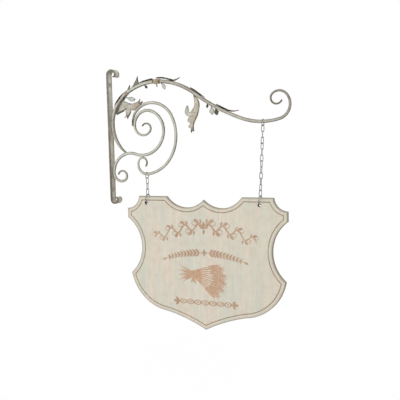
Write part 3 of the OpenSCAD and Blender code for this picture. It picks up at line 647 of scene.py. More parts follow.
def leaf_piece(node_name, flat, y, material, ridge=0.4, veins=5, ruffle=0.35, curl=0.7, rims=(1.3, 1.3),
               tip=0.16, root=0.125, bare=0.02, warm=0.0, seed=1):
    """Closed shell of a leaf from its grid of [x, z] places and y.

    The face stands out by ridge exp(-(v / 0.13)^2) on its midrib, falls by a slanting cosine between side
    veins, waves by ruffle sin(...) v^2 at its edges, and its tip leans out by curl ((t - 0.7) / 0.3)^2. The
    sheet thins from its middle to its edges as 1 - 0.7 v^4. Painted shade darkens rims of two widths in mm
    along its left and right edges from the bare share of its length on, and darkens the tip and the root,
    where the leaf joins, over their shares of it. The paint turns brown by an amount towards the tip.
    """
    t = np.linspace(0, 1, flat.shape[0])[:, None]
    v = np.linspace(-1, 1, flat.shape[1])
    sink = 0.16 * (1 - np.cos(TAU * (veins * t - 1.1 * np.abs(v)))) * unit(4 * np.abs(v) * (1 - np.abs(v)))
    hollow = sink * unit(6 * t) * unit(5 * (1 - t))
    lift = -ridge * np.exp(-(v / 0.13) ** 2) * unit(8 * t) * (1 - 0.6 * t) + hollow
    wave = ruffle * np.sin(TAU * (2.3 * t + 0.13 * seed) + np.sign(v)) * v ** 2 * unit(4 * t)
    middle = y + wave - curl * unit((t - 0.7) / 0.3) ** 2
    half = LEAF_T / 2 * (1 - 0.7 * v ** 4)
    front = np.stack([flat[..., 0], middle - half + lift, flat[..., 1]], -1)
    back = np.stack([flat[..., 0], middle + half + 0.5 * lift, flat[..., 1]], -1)
    wide = np.linalg.norm(flat[:, 0] - flat[:, -1], axis=1)[:, None] / 2
    # Painted shade: dark rims along both edges, and a dark tip and root.
    rim = np.maximum(1 - (1 + v) * wide / rims[0], 1 - (1 - v) * wide / rims[1])
    ends = np.maximum((t - 1 + tip) / tip * 1.6, 1.5 * (1 - t / root))
    closed_sheet(node_name, front, back, material, {
        "wear": unit(0.6 * v ** 6 + 0.8 * unit((t - 0.8) / 0.2) ** 2 + 0.3 * dents(t * 5, v * 1.5, seed)),
        "shade": unit(np.maximum(2.2 * rim * unit(t / bare - 0.4), ends)),
        "warm": warm * unit((t - 0.35) / 0.3) + 0 * v})


def rooted(rows, foot, t):
    """Rows that start on the leaf's foot and ease into the rows of its midrib over a sixth of its length."""
    k = unit(t / 0.16)
    ease = (k * k * (3 - 2 * k))[:, None, None]
    return foot * (1 - ease) + rows * ease


def sprung_leaf(node_name, s, lean, bends, root, widths, lift, cup, material, extra=0.0, **looks):
    """A leaf on a short stalk: its root lies under the arm and its midrib leans away from it by an angle."""
    t, v = np.linspace(0, 1, 44), np.linspace(-1, 1, 17)
    start = by_arm(s, -(arm_half(s) + WELD + extra))
    rib = bent_path(start, np.degrees(station(arm_rise, s)[2]) - lean, bends, 0.4)
    flat = rooted(rows_along(rib, t, v, widths, widths), row_on_arm(s - root, s + root, -1, v, extra), t)
    y_middle = (lift * t)[:, None]
    y_edge = lookup(t, [(0, 0), (0.4, cup), (1, lift + cup)])[:, None]
    leaf_piece(node_name, flat, y_middle + (y_edge - y_middle) * v ** 2, material,
               **{"ridge": 0.35, "ruffle": 0.25, "curl": 0.6, **looks})


def leaflet(half, root):
    """Half widths of a small leaf: a narrow stalk, its widest place in the middle, and a point."""
    return [(0, root), (0.12, root * 0.8), (0.32, half * 0.84), (0.52, half), (0.76, half * 0.7),
            (0.92, half * 0.3), (1, 0.3)]


def swept_leaf(node_name, foot_ends, side, bends, tips, lean_y, material, **looks):
    """A leaf that stands on the arm along its root and sweeps to its tip: a quadratic curve at each v."""
    t, v = np.linspace(0, 1, 44)[:, None, None], np.linspace(-1, 1, 19)
    k = ((v + 1) / 2)[:, None]
    foot = row_on_arm(*foot_ends, side, v)
    bend, end = bends[0] * (1 - k) + bends[1] * k, tips[0] * (1 - k) + tips[1] * k
    flat = (1 - t) ** 2 * foot + 2 * t * (1 - t) * bend + t * t * end
    leaf_piece(node_name, flat, lean_y * t[..., 0] ** 2, material,
               **{"ridge": 0.3, "ruffle": 0.3, "curl": 0.8, **looks})


def laid_leaf(node_name, start, heading, bends, left, right, material, side=-1, lift=0.0, fork=0.0, **looks):
    """A leaf that lies on another leaf's face (side -1) or back and runs out past its edge."""
    t, v = np.linspace(0, 1, 56), np.linspace(-1, 1, 21)
    flat = rows_along(bent_path(start, heading, bends, 0.4), t, v, left, right, fork)
    lie = side * (LEAF_T + WELD)
    y = lookup(t, [(0, lie), (0.45, lie), (1, lie + side * lift)])[:, None]
    leaf_piece(node_name, flat, y, material, **{"tip": 0.2, "root": 0.01, "bare": 0.3, **looks})


COLLAR_S, COLLAR_L, COLLAR_RISE = 88.0, 6.0, 1.6
BUD_S, BUD_L, BUD_D = 174.0, 20.0, 12.5
BUD_DROP = BUD_L ** 2 / 16 / CREST_R
TWIG_D = 2.8


def make_sheath():
    """The long leaf that wraps the first rise of the arm.

    Each cross-section runs round the arm at a small clearance, from its front left edge past its left and its
    back to 140 degrees, and then straight out to the right as a flared rim. The front edge reaches furthest
    round, and the flare is widest, at the middle of the leaf.
    """
    columns, wrapped, start_s, end_s = 29, 21, 38, COLLAR_S - COLLAR_L / 2 - 1
    t, v = np.linspace(0, 1, 64), np.linspace(-1, 1, columns)
    s = start_s + (end_s - start_s) * t
    radius = (arm_half(s) + 0.35 + LEAF_T / 2)[:, None]
    edge = lookup(t, [(0, 60), (0.1, 20), (0.25, -50), (0.4, -85), (0.62, -88), (0.8, -60), (0.93, -10),
                      (1, 30)])
    edge = (edge + 5 * np.sin(TAU * 4 * t))[:, None]
    a = np.radians(edge + (140 - edge) * np.linspace(0, 1, wrapped))
    flare = lookup(t, [(0, 0.4), (0.2, 2.8), (0.5, 4.8), (0.75, 3.4), (1, 0.6)])
    flare = flare * (1 + 0.08 * np.sin(TAU * 5 * t))
    out = flare[:, None] * np.linspace(0, 1, columns - wrapped + 1)[1:]
    offset = np.concatenate([radius * np.cos(a), radius * np.cos(a[:, -1:]) - 0.95 * out], 1)
    y = np.concatenate([radius * np.sin(a), radius * np.sin(a[:, -1:]) - 0.3 * out], 1)
    across = np.stack([np.gradient(offset, axis=1), np.gradient(y, axis=1)], -1)
    across *= LEAF_T / 2 * (1 - 0.7 * v ** 6)[:, None] / np.linalg.norm(across, axis=-1, keepdims=True)
    sheets = []
    for way in (1, -1):
        flat = beside(station(arm_rise, s)[:, None, :], offset + way * across[..., 1])
        sheets.append(np.stack([flat[..., 0], y - way * across[..., 0], flat[..., 1]], -1))
    # Painted shade: the whole sheath is darkened, most along its front left edge, its flared rim and its two
    # ends.
    tips = (unit(1 - 8 * t) + unit((t - 0.86) / 0.14))[:, None]
    closed_sheet("arm_sheath", *sheets, dark_iron, {
        "wear": unit(0.5 * v ** 8 + 0.4 * tips),
        "shade": unit(unit(1 - (1 + v) / 0.9) + unit((v - 0.72) / 0.2) + 0.6 + tips)})


def make_hanging_leaf():
    """The large leaf under the arm: its right edge is one curve that folds forward at the top, its left has
    three feathered lobes, and its foot is forked. A curled side lobe lies on it."""
    t, v = np.linspace(0, 1, 130), np.linspace(-1, 1, 27)
    foot = row_on_arm(276.5, 288.5, -1, v)
    middle = foot[len(v) // 2]
    outer = [(0, 6), (0.08, 8.3), (0.21, 10.2), (0.35, 10.7), (0.46, 10.2), (0.66, 7.8), (0.8, 5.6),
             (0.92, 4.2), (1, 3.8)]
    lobed = [(0, 4), (0.1, 3.6), (0.21, 4.8), (0.29, 6.8), (0.38, 8.6), (0.46, 9.2), (0.545, 9.0),
             (0.6, 10.4), (0.65, 11.8), (0.685, 11.0), (0.71, 6.0), (0.75, 4.4), (0.785, 7.6), (0.82, 8.8),
             (0.845, 6.4), (0.87, 3.4), (0.91, 3.8), (0.955, 4.8), (1, 4.2)]
    rib = bent_path(middle + [0.5, -8.0], 283, [(40, -36), (200, 6), (40, 42)], 0.4)
    flat = np.concatenate([foot[None], rooted(rows_along(rib, t, v, outer, lobed, 4.5), foot, t + 0.10)])
    t = np.linspace(0, 1, len(flat))[:, None]
    fold = 2.2 * unit((-v - 0.55) / 0.45) ** 2 * np.exp(-((t - 0.26) / 0.13) ** 2)
    leaf_piece("hanging_leaf", flat, 0.9 * np.sin(np.pi * t) * (v ** 2 - 0.4) - fold, brown_iron, ridge=0.7,
               veins=9, ruffle=0.5, curl=1.5, rims=(3.8, 1.5), tip=0.08, root=0.008, seed=18)
    widths = [(0, 0.6), (0.12, 2.8), (0.3, 4.8), (0.58, 5.4), (0.8, 4.4), (0.94, 2.9), (1, 1.6)]
    laid_leaf("hanging_leaf_lobe", middle + [-1.5, -37.5], 199, [(120, -5), (7.2, -114), (60, -11)], widths,
              widths, leaf_iron, lift=3, rims=(1.1, 1.1), tip=0.05, seed=19)


make_sheath()
tip_small, tip_large, corner = by_arm(105.5, 11.6), by_arm(130, 21.4), station(arm_rise, 60.0)[:2]
swept_leaf("spear_leaf_small", (92.5, 101), 1, (by_arm(98, 9), by_arm(104, 7)),
           (tip_small, tip_small + [0.8, 0]), -1.5, spear_iron, veins=6, rims=(2.8, 2.4), root=0.12, seed=5)
swept_leaf("spear_leaf_large", (107, 128), 1, (by_arm(117, 10), by_arm(126.5, 10)),
           (tip_large, tip_large + [0.8, 0]), -2, spear_iron, veins=7, rims=(3.8, 3.4), root=0.12, seed=6)
swept_leaf("corner_leaf_base", (26, 70), -1, (corner + [20, -5], corner + [12, -22]),
           (corner + [35, -7], corner + [31, -18]), 0, leaf_iron, veins=9, rims=(2.0, 4.6), root=0.26, seed=7)
sprung_leaf("corner_leaf_oval", 79, 64, [(72, 25)], 1.8,
            [(0, 1.8), (0.15, 1.3), (0.25, 2.0), (0.42, 4.6), (0.6, 5.5), (0.8, 4.2), (0.93, 2.0), (1, 0.4)],
            -3.5, 1.2, pale_iron, rims=(0.7, 0.7), seed=8)
laid_leaf("corner_leaf_forked", corner + [8, -11.9], -7.6, [(200, 8.6), (35, 50)],
          [(0, 0.5), (0.15, 2.5), (0.39, 5), (0.57, 7.2), (0.76, 6.4), (0.915, 5.4), (1, 6.0)],
          [(0, 0.5), (0.15, 3), (0.36, 7.6), (0.53, 9.8), (0.625, 7.6), (0.745, 5.2), (0.9, 5.4), (1, 6.0)],
          leaf_iron, lift=3.5, fork=7.5, rims=(1.4, 2.2), curl=2.0, warm=0.75, seed=9)
laid_leaf("corner_leaf_low", corner + [25.8, -17.5], 268, [(78, -18)],
          [(0, 4), (0.22, 8.0), (0.45, 7.2), (0.65, 6.0), (0.85, 4.4), (1, 5.0)],
          [(0, 4), (0.3, 7.6), (0.6, 5.4), (0.87, 3.8), (1, 6.4)],
          leaf_iron, lift=2.5, fork=7, rims=(4.6, 1.4), tip=0.3, curl=1.6, warm=0.3, seed=10)
narrow = [(0, 2), (0.3, 3), (0.7, 2.4), (1, 0.6)]
laid_leaf("corner_leaf_back", corner + [12, -22.5], 185, [(34, 40)], narrow, narrow, dark_iron, side=1,
          seed=11)
sprung_leaf("arm_leaflet_back", 141, 62, [(30, 20)], 1.6, leaflet(3.4, 1.6), -1, 0.5, dark_iron, seed=12)
sprung_leaf("bud_leaf_small", BUD_S - 1, 72, [(30, 14)], 1.2, leaflet(2.0, 1.2), -0.8, 0.3, brown_iron,
            BUD_D / 2 - arm_half(BUD_S) + BUD_DROP, seed=13)
sprung_leaf("bud_leaf_large", BUD_S + BUD_L / 2 + 3, 42, [(58, -18)], 2.2, leaflet(4.6, 2.0), -2, 1,
            pale_iron, rims=(1.0, 1.0), seed=14)
sprung_leaf("arm_leaflet_dark", 318, 72, [(30, 17)], 1.6, leaflet(3.2, 1.8), -0.8, 0.4, dark_iron, seed=15)
sprung_leaf("arm_leaflet_oval", 329, 62, [(60, 18)], 1.8, leaflet(6.0, 2.2), -1.5, 0.9, leaf_iron,
            rims=(1.4, 1.4), seed=16)
sprung_leaf("arm_leaflet_front", 341, 60, [(30, 28)], 2.2, leaflet(5.6, 2.6), -1.5, 0.9, dark_iron, seed=17)
make_hanging_leaf()


# Collar, bud and twigs


def make_bead(node_name, s, length, r_out, drop, flutes, depth, groove=0.0):
    """A ring that bulges round the arm: a lens profile turned round its axis, fluted by cos(flutes a)."""
    q = station(arm_rise, s)
    bore = arm_half(s) + WELD + drop
    rise = r_out - bore
    bulge = (length ** 2 / 4 + rise ** 2) / (2 * rise)
    u = length / 2 * np.sin(np.radians(np.linspace(-90, 90, 23)))
    outer = r_out - bulge + np.sqrt(bulge ** 2 - u ** 2)
    outer -= groove * rise * np.cos(TAU * u / length * 2) ** 2 * (np.abs(u) < 0.42 * length)
    inner_u = u[::-4][1:-1]
    u, r = np.append(u, inner_u), np.append(outer, bore + 0 * inner_u)
    a = full_turn(56)[:, None]
    r = r - depth * unit((r - bore) / rise) * (1 + np.cos(flutes * a + 0.6 * u / length)) / 2
    x, z = beside(q, -drop)
    stations = np.stack([x + u * np.cos(q[2]), z + u * np.sin(q[2]), q[2] + 0 * u], -1)
    # Painted shade at the bead's ends, where it meets the arm; the same mask marks wear there.
    ends = unit((np.abs(u) / (length / 2)) ** 3) + 0 * a
    make_piece("turned_" + node_name, turned_round(stations, r, a), grid_faces(*r.shape, looped=True),
               "bracket", node_name, [bud_iron], {"wear": ends, "shade": ends})


def make_twig(node_name, route, steps, knots, seed, girth=((0, 0.6), (0.15, 1), (0.7, 1), (1, 0.4))):
    """A thin rod beside the arm along a route of distances and offsets, with knots where shoots were cut."""
    s = np.linspace(route[0][0], route[-1][0], steps + 1)
    line = smooth_line(by_arm(s, lookup(s, route)), 90)
    step = np.gradient(line, axis=0)
    heading = np.unwrap(np.arctan2(step[:, 1], step[:, 0]))
    done = np.append(0, np.cumsum(np.hypot(*np.diff(line, axis=0).T)))
    share = done / done[-1]
    half = 0.58 * TWIG_D * lookup(share, girth)
    for knot in knots:
        half = half * (1 + 0.22 * np.exp(-((share - knot) / 0.022) ** 2))
    rows, sides = len(line), 18
    k = np.arange(sides)
    a = full_turn(sides)
    r = half[:, None] * (1 - 0.08 * dents(done[:, None] * 0.5, np.cos(a) * 1.5, seed))
    grid = turned_round(np.column_stack([line, heading])[:, None, :], r, a).reshape(-1, 3)
    poles = [[line[i, 0] + reach * half[i] * np.cos(heading[i]), 0.0,
              line[i, 1] + reach * half[i] * np.sin(heading[i])]
             for i, reach in ((0, -0.8), (-1, 1.0))]
    onward = (k + 1) % sides
    last = (rows - 1) * sides
    fans = [np.stack([rows * sides + 0 * k, onward, k], -1),
            np.stack([rows * sides + 1 + 0 * k, last + k, last + onward], -1)]
    wear = np.repeat(unit(np.exp(-share * 12) + np.exp(-(1 - share) * 9)), sides)
    shade = np.repeat(unit(0.4 + 0.6 * np.cos(TAU * share * 1.5) ** 2), sides)
    make_piece("forged_" + node_name, np.concatenate([grid, poles]), grid_faces(rows, sides).tolist()
               + np.concatenate(fans).tolist(), "bracket", node_name, [dark_iron],
               {"wear": np.append(wear, [1.0, 1.0]), "shade": np.append(shade, [0.0, 0.0])})


def on_arm(s, d=TWIG_D):
    """A waypoint of a rod of a diameter that lies on the arm."""
    return (s, arm_half(s) + d / 2 + WELD)


make_bead("collar", COLLAR_S, COLLAR_L, arm_half(COLLAR_S) + COLLAR_RISE, 0.05, 0, 0.0, 0.35)
make_bead("bud", BUD_S, BUD_L, BUD_D / 2, BUD_DROP, 7, 0.55)
over_bud = BUD_D / 2 + TWIG_D / 2 + 2 * WELD
past_bud = BUD_S + BUD_L / 2
make_twig("twig_back", [on_arm(129), on_arm(BUD_S - BUD_L / 2 - 1)], 11, (0.3, 0.55), 31,
          ((0, 0.6), (0.3, 1.0), (0.6, 1.1), (0.85, 1.6), (1, 1.3)))
make_twig("twig_front", [(BUD_S - 1, over_bud), (past_bud + 1, over_bud + 0.4), (past_bud + 12, 7.8),
                         on_arm(past_bud + 24, TWIG_D + 0.6), on_arm(past_bud + 31), (past_bud + 37, 7.8),
                         (past_bud + 46, 16.5)], 16, (0.3, 0.62), 32,
          ((0, 0.7), (0.12, 1.2), (0.4, 1.0), (0.62, 1.35), (0.78, 1.1), (1, 0.45)))
make_twig("twig_low", [on_arm(262), on_arm(304)], 11, (0.4, 0.75), 33)
make_twig("tendril", [on_arm(337), on_arm(370), (378, 6.9), (386, 10), (394, 14.5)], 14, (0.45,), 34)


# Board. Its own coordinates are u from its middle and w from its top edge, and circles are [u, w, r]

HOLE_DROP, HOLE_R, HOLES = 16.0, 4.0, (-148.0, 136.0)
NEAR_RING_OFF, FAR_RING_OFF, HOLE_REST = 1.8, 1.0, 1.35
BOARD_X, BOARD_TOP, BOARD_T = near_top[0] - NEAR_RING_OFF - HOLES[0], -141.0, 9.0
BOARD_HALF_W, BOARD_H = 200.0, 310.0
GROOVE_INSET, GROOVE_W, GROOVE_DEPTH, ARRIS_R = 8.5, 2.0, 1.0, 1.3
SCALLOP, NOTCH = (44.0, 36.5, 62.0), (200.0, 2.5, 32.0)
WAIST, BELLY = (248.0, -121.0, 84.0), (88.0, -166.0, 108.0)
OGEE_R, OGEE_FROM = 400.0, 12.0


def on_board(flat, y):
    """Points [u, w] of the board as points of the frame at a depth y."""
    u, w, y = np.broadcast_arrays(flat[..., 0], flat[..., 1], y)
    return np.stack([BOARD_X + u, y, BOARD_TOP + w], -1)


def at_u(circle, u, side):
    """The point of a circle at a given u, on its upper (1) or lower (-1) side."""
    return np.array([u, circle[1] + side * np.sqrt(circle[2] ** 2 - (circle[0] - u) ** 2)])


def at_w(circle, w, side):
    """The point of a circle at a given w, on its right (1) or left (-1) side."""
    return np.array([circle[0] + side * np.sqrt(circle[2] ** 2 - (circle[1] - w) ** 2), w])


def circles_meet(a, b):
    """The point at which circles cross, to the right of the way from a to b."""
    way = np.subtract(b[:2], a[:2])
    d = np.hypot(*way)
    along = (a[2] ** 2 - b[2] ** 2 + d * d) / (2 * d)
    off = np.sqrt(a[2] ** 2 - along ** 2)
    return a[:2] + way / d * along - off / d * np.array([-way[1], way[0]])


def edge_points(circle, a, b, n):
    """n points from a on, short of b: the short way round a circle, or straight where there is none."""
    share = np.arange(n) / n
    if circle is None:
        return a + (b - a) * share[:, None]
    start, end = (np.arctan2(*(p - circle[:2])[::-1]) for p in (a, b))
    t = start + ((end - start + np.pi) % TAU - np.pi) * share
    return circle[:2] + circle[2] * aimed(t)


def board_outline(inset):
    """The board's outline set in from its edge by an inset, clockwise from the top of its middle line.

    Arcs that hollow the edge grow by the inset and the belly's arc shrinks by it, and their ends lie where
    the changed arcs and the moved straight edges cross, so the points keep their order at every inset.
    """
    point = np.array([0.0, -BOARD_H])
    chord = at_u(BELLY, BELLY[0] + OGEE_FROM, -1) - point
    length = np.hypot(*chord)
    apart = np.array([chord[1], -chord[0]]) / length * np.sqrt(OGEE_R ** 2 - length ** 2 / 4)
    middle = point + chord / 2 + apart
    grown = ((SCALLOP, 1), (NOTCH, 1), (WAIST, 1), (BELLY, -1), ((*middle, OGEE_R), 1))
    scallop, notch, waist, belly, ogee = (np.add(circle, (0, 0, way * inset)) for circle, way in grown)
    side_u, top_w = BOARD_HALF_W - inset, -inset
    ends = [at_u(scallop, 0.0, -1), at_w(scallop, top_w, 1), at_w(notch, top_w, -1), at_u(notch, side_u, -1),
            at_u(waist, side_u, 1), circles_meet(belly, waist), circles_meet(belly, ogee), at_u(ogee, 0.0, 1)]
    edges = [(scallop, 40), (None, 16), (notch, 28), (None, 6), (waist, 48), (belly, 64), (ogee, 36)]
    half = np.concatenate([edge_points(circle, a, b, n) for (circle, n), a, b in zip(edges, ends, ends[1:])]
                          + [ends[-1:]])
    return np.concatenate([half, half[-2:0:-1] * [-1, 1]])


def board_section():
    """Inset and depth from the front face to the back one: groove, rounded arris, edge, the same again."""
    inner = GROOVE_INSET + GROOVE_W
    groove = [(inner + 0.7, 0), (inner + 0.1, 0), (inner - 0.15, 0.12), (inner - 0.5, 0.9 * GROOVE_DEPTH),
              (inner - 1.0, GROOVE_DEPTH), (GROOVE_INSET + 0.5, 0.9 * GROOVE_DEPTH),
              (GROOVE_INSET + 0.15, 0.12), (GROOVE_INSET - 0.1, 0), (6.0, 0), (3.4, 0)]
    a = np.radians(np.linspace(0, 90, 6))
    arris = ARRIS_R * np.stack([1 - np.sin(a), 1 - np.cos(a)], -1)
    half = np.concatenate([groove, arris]) - [0, BOARD_T / 2]
    return np.concatenate([half, half[::-1] * [1, -1]])


def flat_side(points, loops, facing):
    """Triangles between loops of point numbers, the outline and the bores, that face -Y (1) or +Y (-1)."""
    order = np.concatenate(loops)
    flat = [[(*points[k, ::2], 0.0) for k in loop] for loop in loops]
    triangles = order[np.array(tessellate_polygon(flat))]
    a, b, c = (points[triangles[:, k]][:, ::2] for k in range(3))
    turn = facing * np.cross(b - a, c - a)
    return np.where(turn[:, None] > 0, triangles, triangles[:, ::-1]).tolist()


def make_board():
    """The board: its section carried round the insets of its outline, two flat middles and two bores."""
    section = board_section()
    inset = section[:, 0]
    rings = on_board(np.stack([board_outline(k) for k in inset]), section[:, 1, None])
    rows, count = rings.shape[:2]
    groove = (inset > GROOVE_INSET) & (inset < GROOVE_INSET + GROOVE_W)
    edge = inset < 1.2
    band = np.where(groove[:-1] | groove[1:], 1, np.where(edge[:-1] & edge[1:], 2, 0))
    a = full_turn(40)
    bore = np.array([(0.5, -1.0), (0.12, -0.97), (0.0, -0.86), (0.0, 0.86), (0.12, 0.97), (0.5, 1.0)])
    bore_r = HOLE_R + bore[:, :1]
    points, faces, slots = [rings.reshape(-1, 3)], [grid_faces(rows, count)], [np.repeat(band, count)]
    wear = [np.repeat(lookup(inset, [(0, 1.0), (1.3, 0.85), (3.4, 0.2), (6.0, 0.0)]), count)]
    for u in HOLES:
        flat = np.stack([u + bore_r * np.cos(a), bore_r * np.sin(a) - HOLE_DROP], -1)
        faces.append(grid_faces(*flat.shape[:2])[:, ::-1] + sum(map(len, points)))
        points.append(on_board(flat, bore[:, 1:] * BOARD_T / 2).reshape(-1, 3))
        slots.append(np.full(len(faces[-1]), 3))
        wear.append(np.repeat([0.0, 0.6, 1.0, 1.0, 0.6, 0.0], len(a)))
    firsts = [len(points[0]), len(points[0]) + len(points[1])]
    points = np.concatenate(points)
    flat_faces = []
    for row, bore_row, facing in ((0, 0, 1), (rows - 1, len(bore) - 1, -1)):
        loops = [row * count + np.arange(count)]
        loops += [first + bore_row * len(a) + np.arange(len(a)) for first in firsts]
        flat_faces += flat_side(points, loops, facing)
    make_piece("shaped_board", points, np.concatenate(faces).tolist() + flat_faces, "board", "board",
               [board_paint, groove_paint, edge_shade_paint, bore_shade_paint], {"wear": np.concatenate(wear)},
               np.append(np.concatenate(slots), np.zeros(len(flat_faces), int)), 35)


make_board()


# Painted ornament on the board's front: flat strokes along curves, in the board's own coordinates


def stroke(line, widths):
    """A brush stroke: points and faces of a thin closed strip along a line [u, w], domed a little across."""
    step = np.gradient(line, axis=0)
    step /= np.linalg.norm(step, axis=1, keepdims=True)
    across = np.stack([-step[:, 1], step[:, 0]], -1)
    v = np.linspace(-1, 1, 5)
    flat = line[:, None, :] + across[:, None, :] * (widths[:, None] / 2 * np.append(v, v[::-1]))[..., None]
    y = np.append(-0.1 - 0.08 * (1 - v ** 2), np.full(5, 0.15)) - BOARD_T / 2
    return on_board(flat, y).reshape(-1, 3), sheet_faces(len(line), 5)


def petal(base, heading, length, width, bend=0.0, full=0.45):
    """A leaf-shaped stroke: its line turns evenly by bend degrees, its width swells and comes to a point."""
    t = np.linspace(0, 1, 11)
    h = np.radians(heading + bend * (t[:-1] - 0.5))
    steps = length / 10 * aimed(h)
    line = base + np.concatenate([[[0, 0]], np.cumsum(steps, 0)])
    return stroke(line, width * np.sin(np.pi * t ** (np.log(0.5) / np.log(full))) ** 0.8 + 0.12)


def curl(base, heading, bends, width):
    """A curling stroke that thins to its end."""
    path = bent_path(base, heading, bends, 0.9)
    return stroke(path[:, :2], width * (1 - 0.7 * path[:, 3] / path[-1, 3]))


def arch(side, u, low, sagitta, half):
    """Points [u, w] of a circular arch on one side of its middle, and headings away from it in degrees."""
    r = (half ** 2 + sagitta ** 2) / (2 * sagitta)
    w = low + sagitta - r + np.sqrt(r ** 2 - u ** 2)
    fall = np.degrees(np.arcsin(u / r))
    return np.stack([side * u, w], -1), -fall if side > 0 else 180 + fall


def paint(name, strokes, material):
    """Joins strokes into one painted piece that rides on the board."""
    offsets = np.cumsum([0] + [len(points) for points, faces in strokes])
    faces = np.concatenate([faces + offset for (points, faces), offset in zip(strokes, offsets)])
    make_piece(name, np.concatenate([points for points, faces in strokes]), faces, "board", None, [material],
               sharp=60)


def vine_strokes():
    """The wide arch: a wavy stem with a leaf and a small curl at each swing, mirrored about the middle."""
    curve, start, swings, swing = (-100.0, 31.0, 128.0), 3, 7, 7.5
    reach = curve[2] - start
    strokes = []
    for side in (-1, 1):
        u = start + np.linspace(0, reach, 120)
        line = arch(side, u, *curve)[0]
        line[:, 1] += swing * np.sin(np.pi * swings * (u - start) / reach)
        strokes.append(stroke(line, lookup(u, [(3, 4.2), (60, 3.6), (128, 1.8)])))
        for k in range(swings):
            up = 1 if k % 2 == 0 else -1
            base, ahead = arch(side, start + reach * (k + 0.5) / swings, *curve)
            base, turned, size = base + [0, up * swing], side * up, 1 - 0.35 * k / swings
            strokes += [petal(base, ahead + turned * 38, 17 * size, 8.2 * size, turned * -30),
                        petal(base - [side * 5, 0], ahead + turned * 78, 12 * size, 5.8 * size, turned * -20),
                        curl(base + [side * 4, -up * 1.5], ahead - turned * 42,
                             [(10 * size, turned * 60), (5.2 * size, turned * 150),
                              (2.8 * size, turned * 120)],
                             2.7 * size)]
    strokes += [petal([0, -73.5], heading, 17, 8.4) for heading in (90, 38, 142)]
    return strokes + [petal([0, -75.5], -90, 11, 6.4)]


def laurel_strokes():
    """The narrower arch: pairs of leaves that point away from a lozenge in the middle."""
    curve, pairs = (-146.0, 17.0, 98.0), 10
    strokes = []
    for side in (-1, 1):
        u = np.linspace(9, curve[2], 60)
        strokes.append(stroke(arch(side, u, *curve)[0], lookup(u, [(9, 2.6), (98, 1.4)])))
        for k in range(pairs):
            base, ahead = arch(side, 13 + (curve[2] - 16) * k / pairs, *curve)
            size = 1 - 0.04 * k
            strokes += [petal(base, ahead + turned * 40, 13 * size, 5.6 * size, -turned * 26)
                        for turned in (-1, 1)]
        strokes.append(petal(*arch(side, curve[2], *curve), 11, 5.0))
    return strokes + [petal([0, -129.0], heading, 8.0, 5.4, full=0.35) for heading in (90, 0, 180, -90)]


def sheaf_strokes():
    """A lying sheaf of corn: ears of paired grains with awns fan out from a tie, their straws behind it."""
    strokes = []
    tie, ears = np.array([-30.0, -180.0]), 11
    for k in range(ears):
        share = k / (ears - 1)
        reach = 40 + 9 * np.sin(np.pi * share) + 5 * (k % 2)
        bend = -16 + 10 * share
        path = bent_path(tie + [0, 5.5 - 11 * share], 17 - 56 * share - bend / 2,
                         [(reach / np.radians(abs(bend)), bend)], 2.0)
        strokes.append(stroke(path[:, :2], lookup(path[:, 3], [(0, 3.6), (reach, 2.0)])))
        top, h = path[-1, :2], path[-1, 2]
        facing = np.degrees(h)
        forward = aimed(h)
        sideways = np.array([-forward[1], forward[0]])
        for g in range(6):
            base = top + forward * 4.2 * g
            for turned in (-1, 1):
                grain = base + sideways * turned * 0.4
                strokes.append(petal(grain, facing + turned * 24, 7.6 - 0.4 * g, 3.3, -turned * 20))
                if g % 2 == 1:
                    awn = base + forward * 4 + sideways * turned * 2.4
                    strokes.append(petal(awn, facing + turned * (14 - g), 12.0, 0.8, full=0.2))
        straw = 186 + 46 * (share - 0.5) + 6 * (k % 3 - 1)
        strokes += [petal(top + forward * 25, facing, 7.5, 3.2),
                    petal(tie + [1.0, 4.5 - 9 * share], straw, 40 - 7 * (k % 3), 2.6, 12 * (share - 0.5),
                          0.35)]
    a = np.linspace(-1.4, 1.4, 12)
    for shift in (-2.4, 0.0, 2.4):
        line = tie + np.stack([shift + 1.4 * np.cos(a), np.linspace(8.5, -8.5, 12)], -1)
        strokes.append(stroke(line, np.full(12, 1.5)))
    return strokes + [petal(tie + [0, -7], -62, 17, 5.0, 30), petal(tie + [0, -7], -112, 15, 4.6, -30)]


def wave_strokes():
    """The short lower band: two crossing waves with a bead in each hollow and a leaf at each end."""
    half, w, beads = 66, -246, 7
    share = np.linspace(0, 1, 150)
    strokes = []
    for phase in (0, 1):
        line = np.stack([half * (2 * share - 1), w + 5.2 * np.sin(np.pi * (beads * share + phase))], -1)
        strokes.append(stroke(line, 2.7 + 0.9 * np.cos(TAU * beads * share)))
    for k in range(beads):
        strokes.append(petal([half * ((2 * k + 1) / beads - 1) - 2.6, w], 0, 5.2, 4.2, full=0.5))
    for side, facing in ((-1, 180), (1, 0)):
        strokes.append(petal([side * 67, w], facing, 16, 6.8))
        for turned in (-1, 1):
            strokes.append(petal([side * 68, w + turned], facing + side * turned * 42, 12, 5.6,
                                 -side * turned * 24))
    return strokes


paint("painted_vine", vine_strokes(), ornament_line)
paint("painted_laurel", laurel_strokes(), ornament_line)
paint("painted_sheaf", sheaf_strokes(), ornament_paint)
paint("painted_wave", wave_strokes(), ornament_line)


# Chains and rings

BAR_RING_R, BAR_RING_WIRE = 7.5, 2.0
BOARD_RING_R, BOARD_RING_WIRE = 10.0, 2.2
LINK_WIRE, LINK_W, RING_CUT, SEAT, WIRE_SIDES = 1.8, 7.6, 0.5, 0.3, 16
NEAR_LINKS, FAR_LINKS = 3, 12
NEAR_TURN, FAR_TURN = 180.0 / (NEAR_LINKS - 1), 90.0 + 270.0 / (FAR_LINKS - 1)

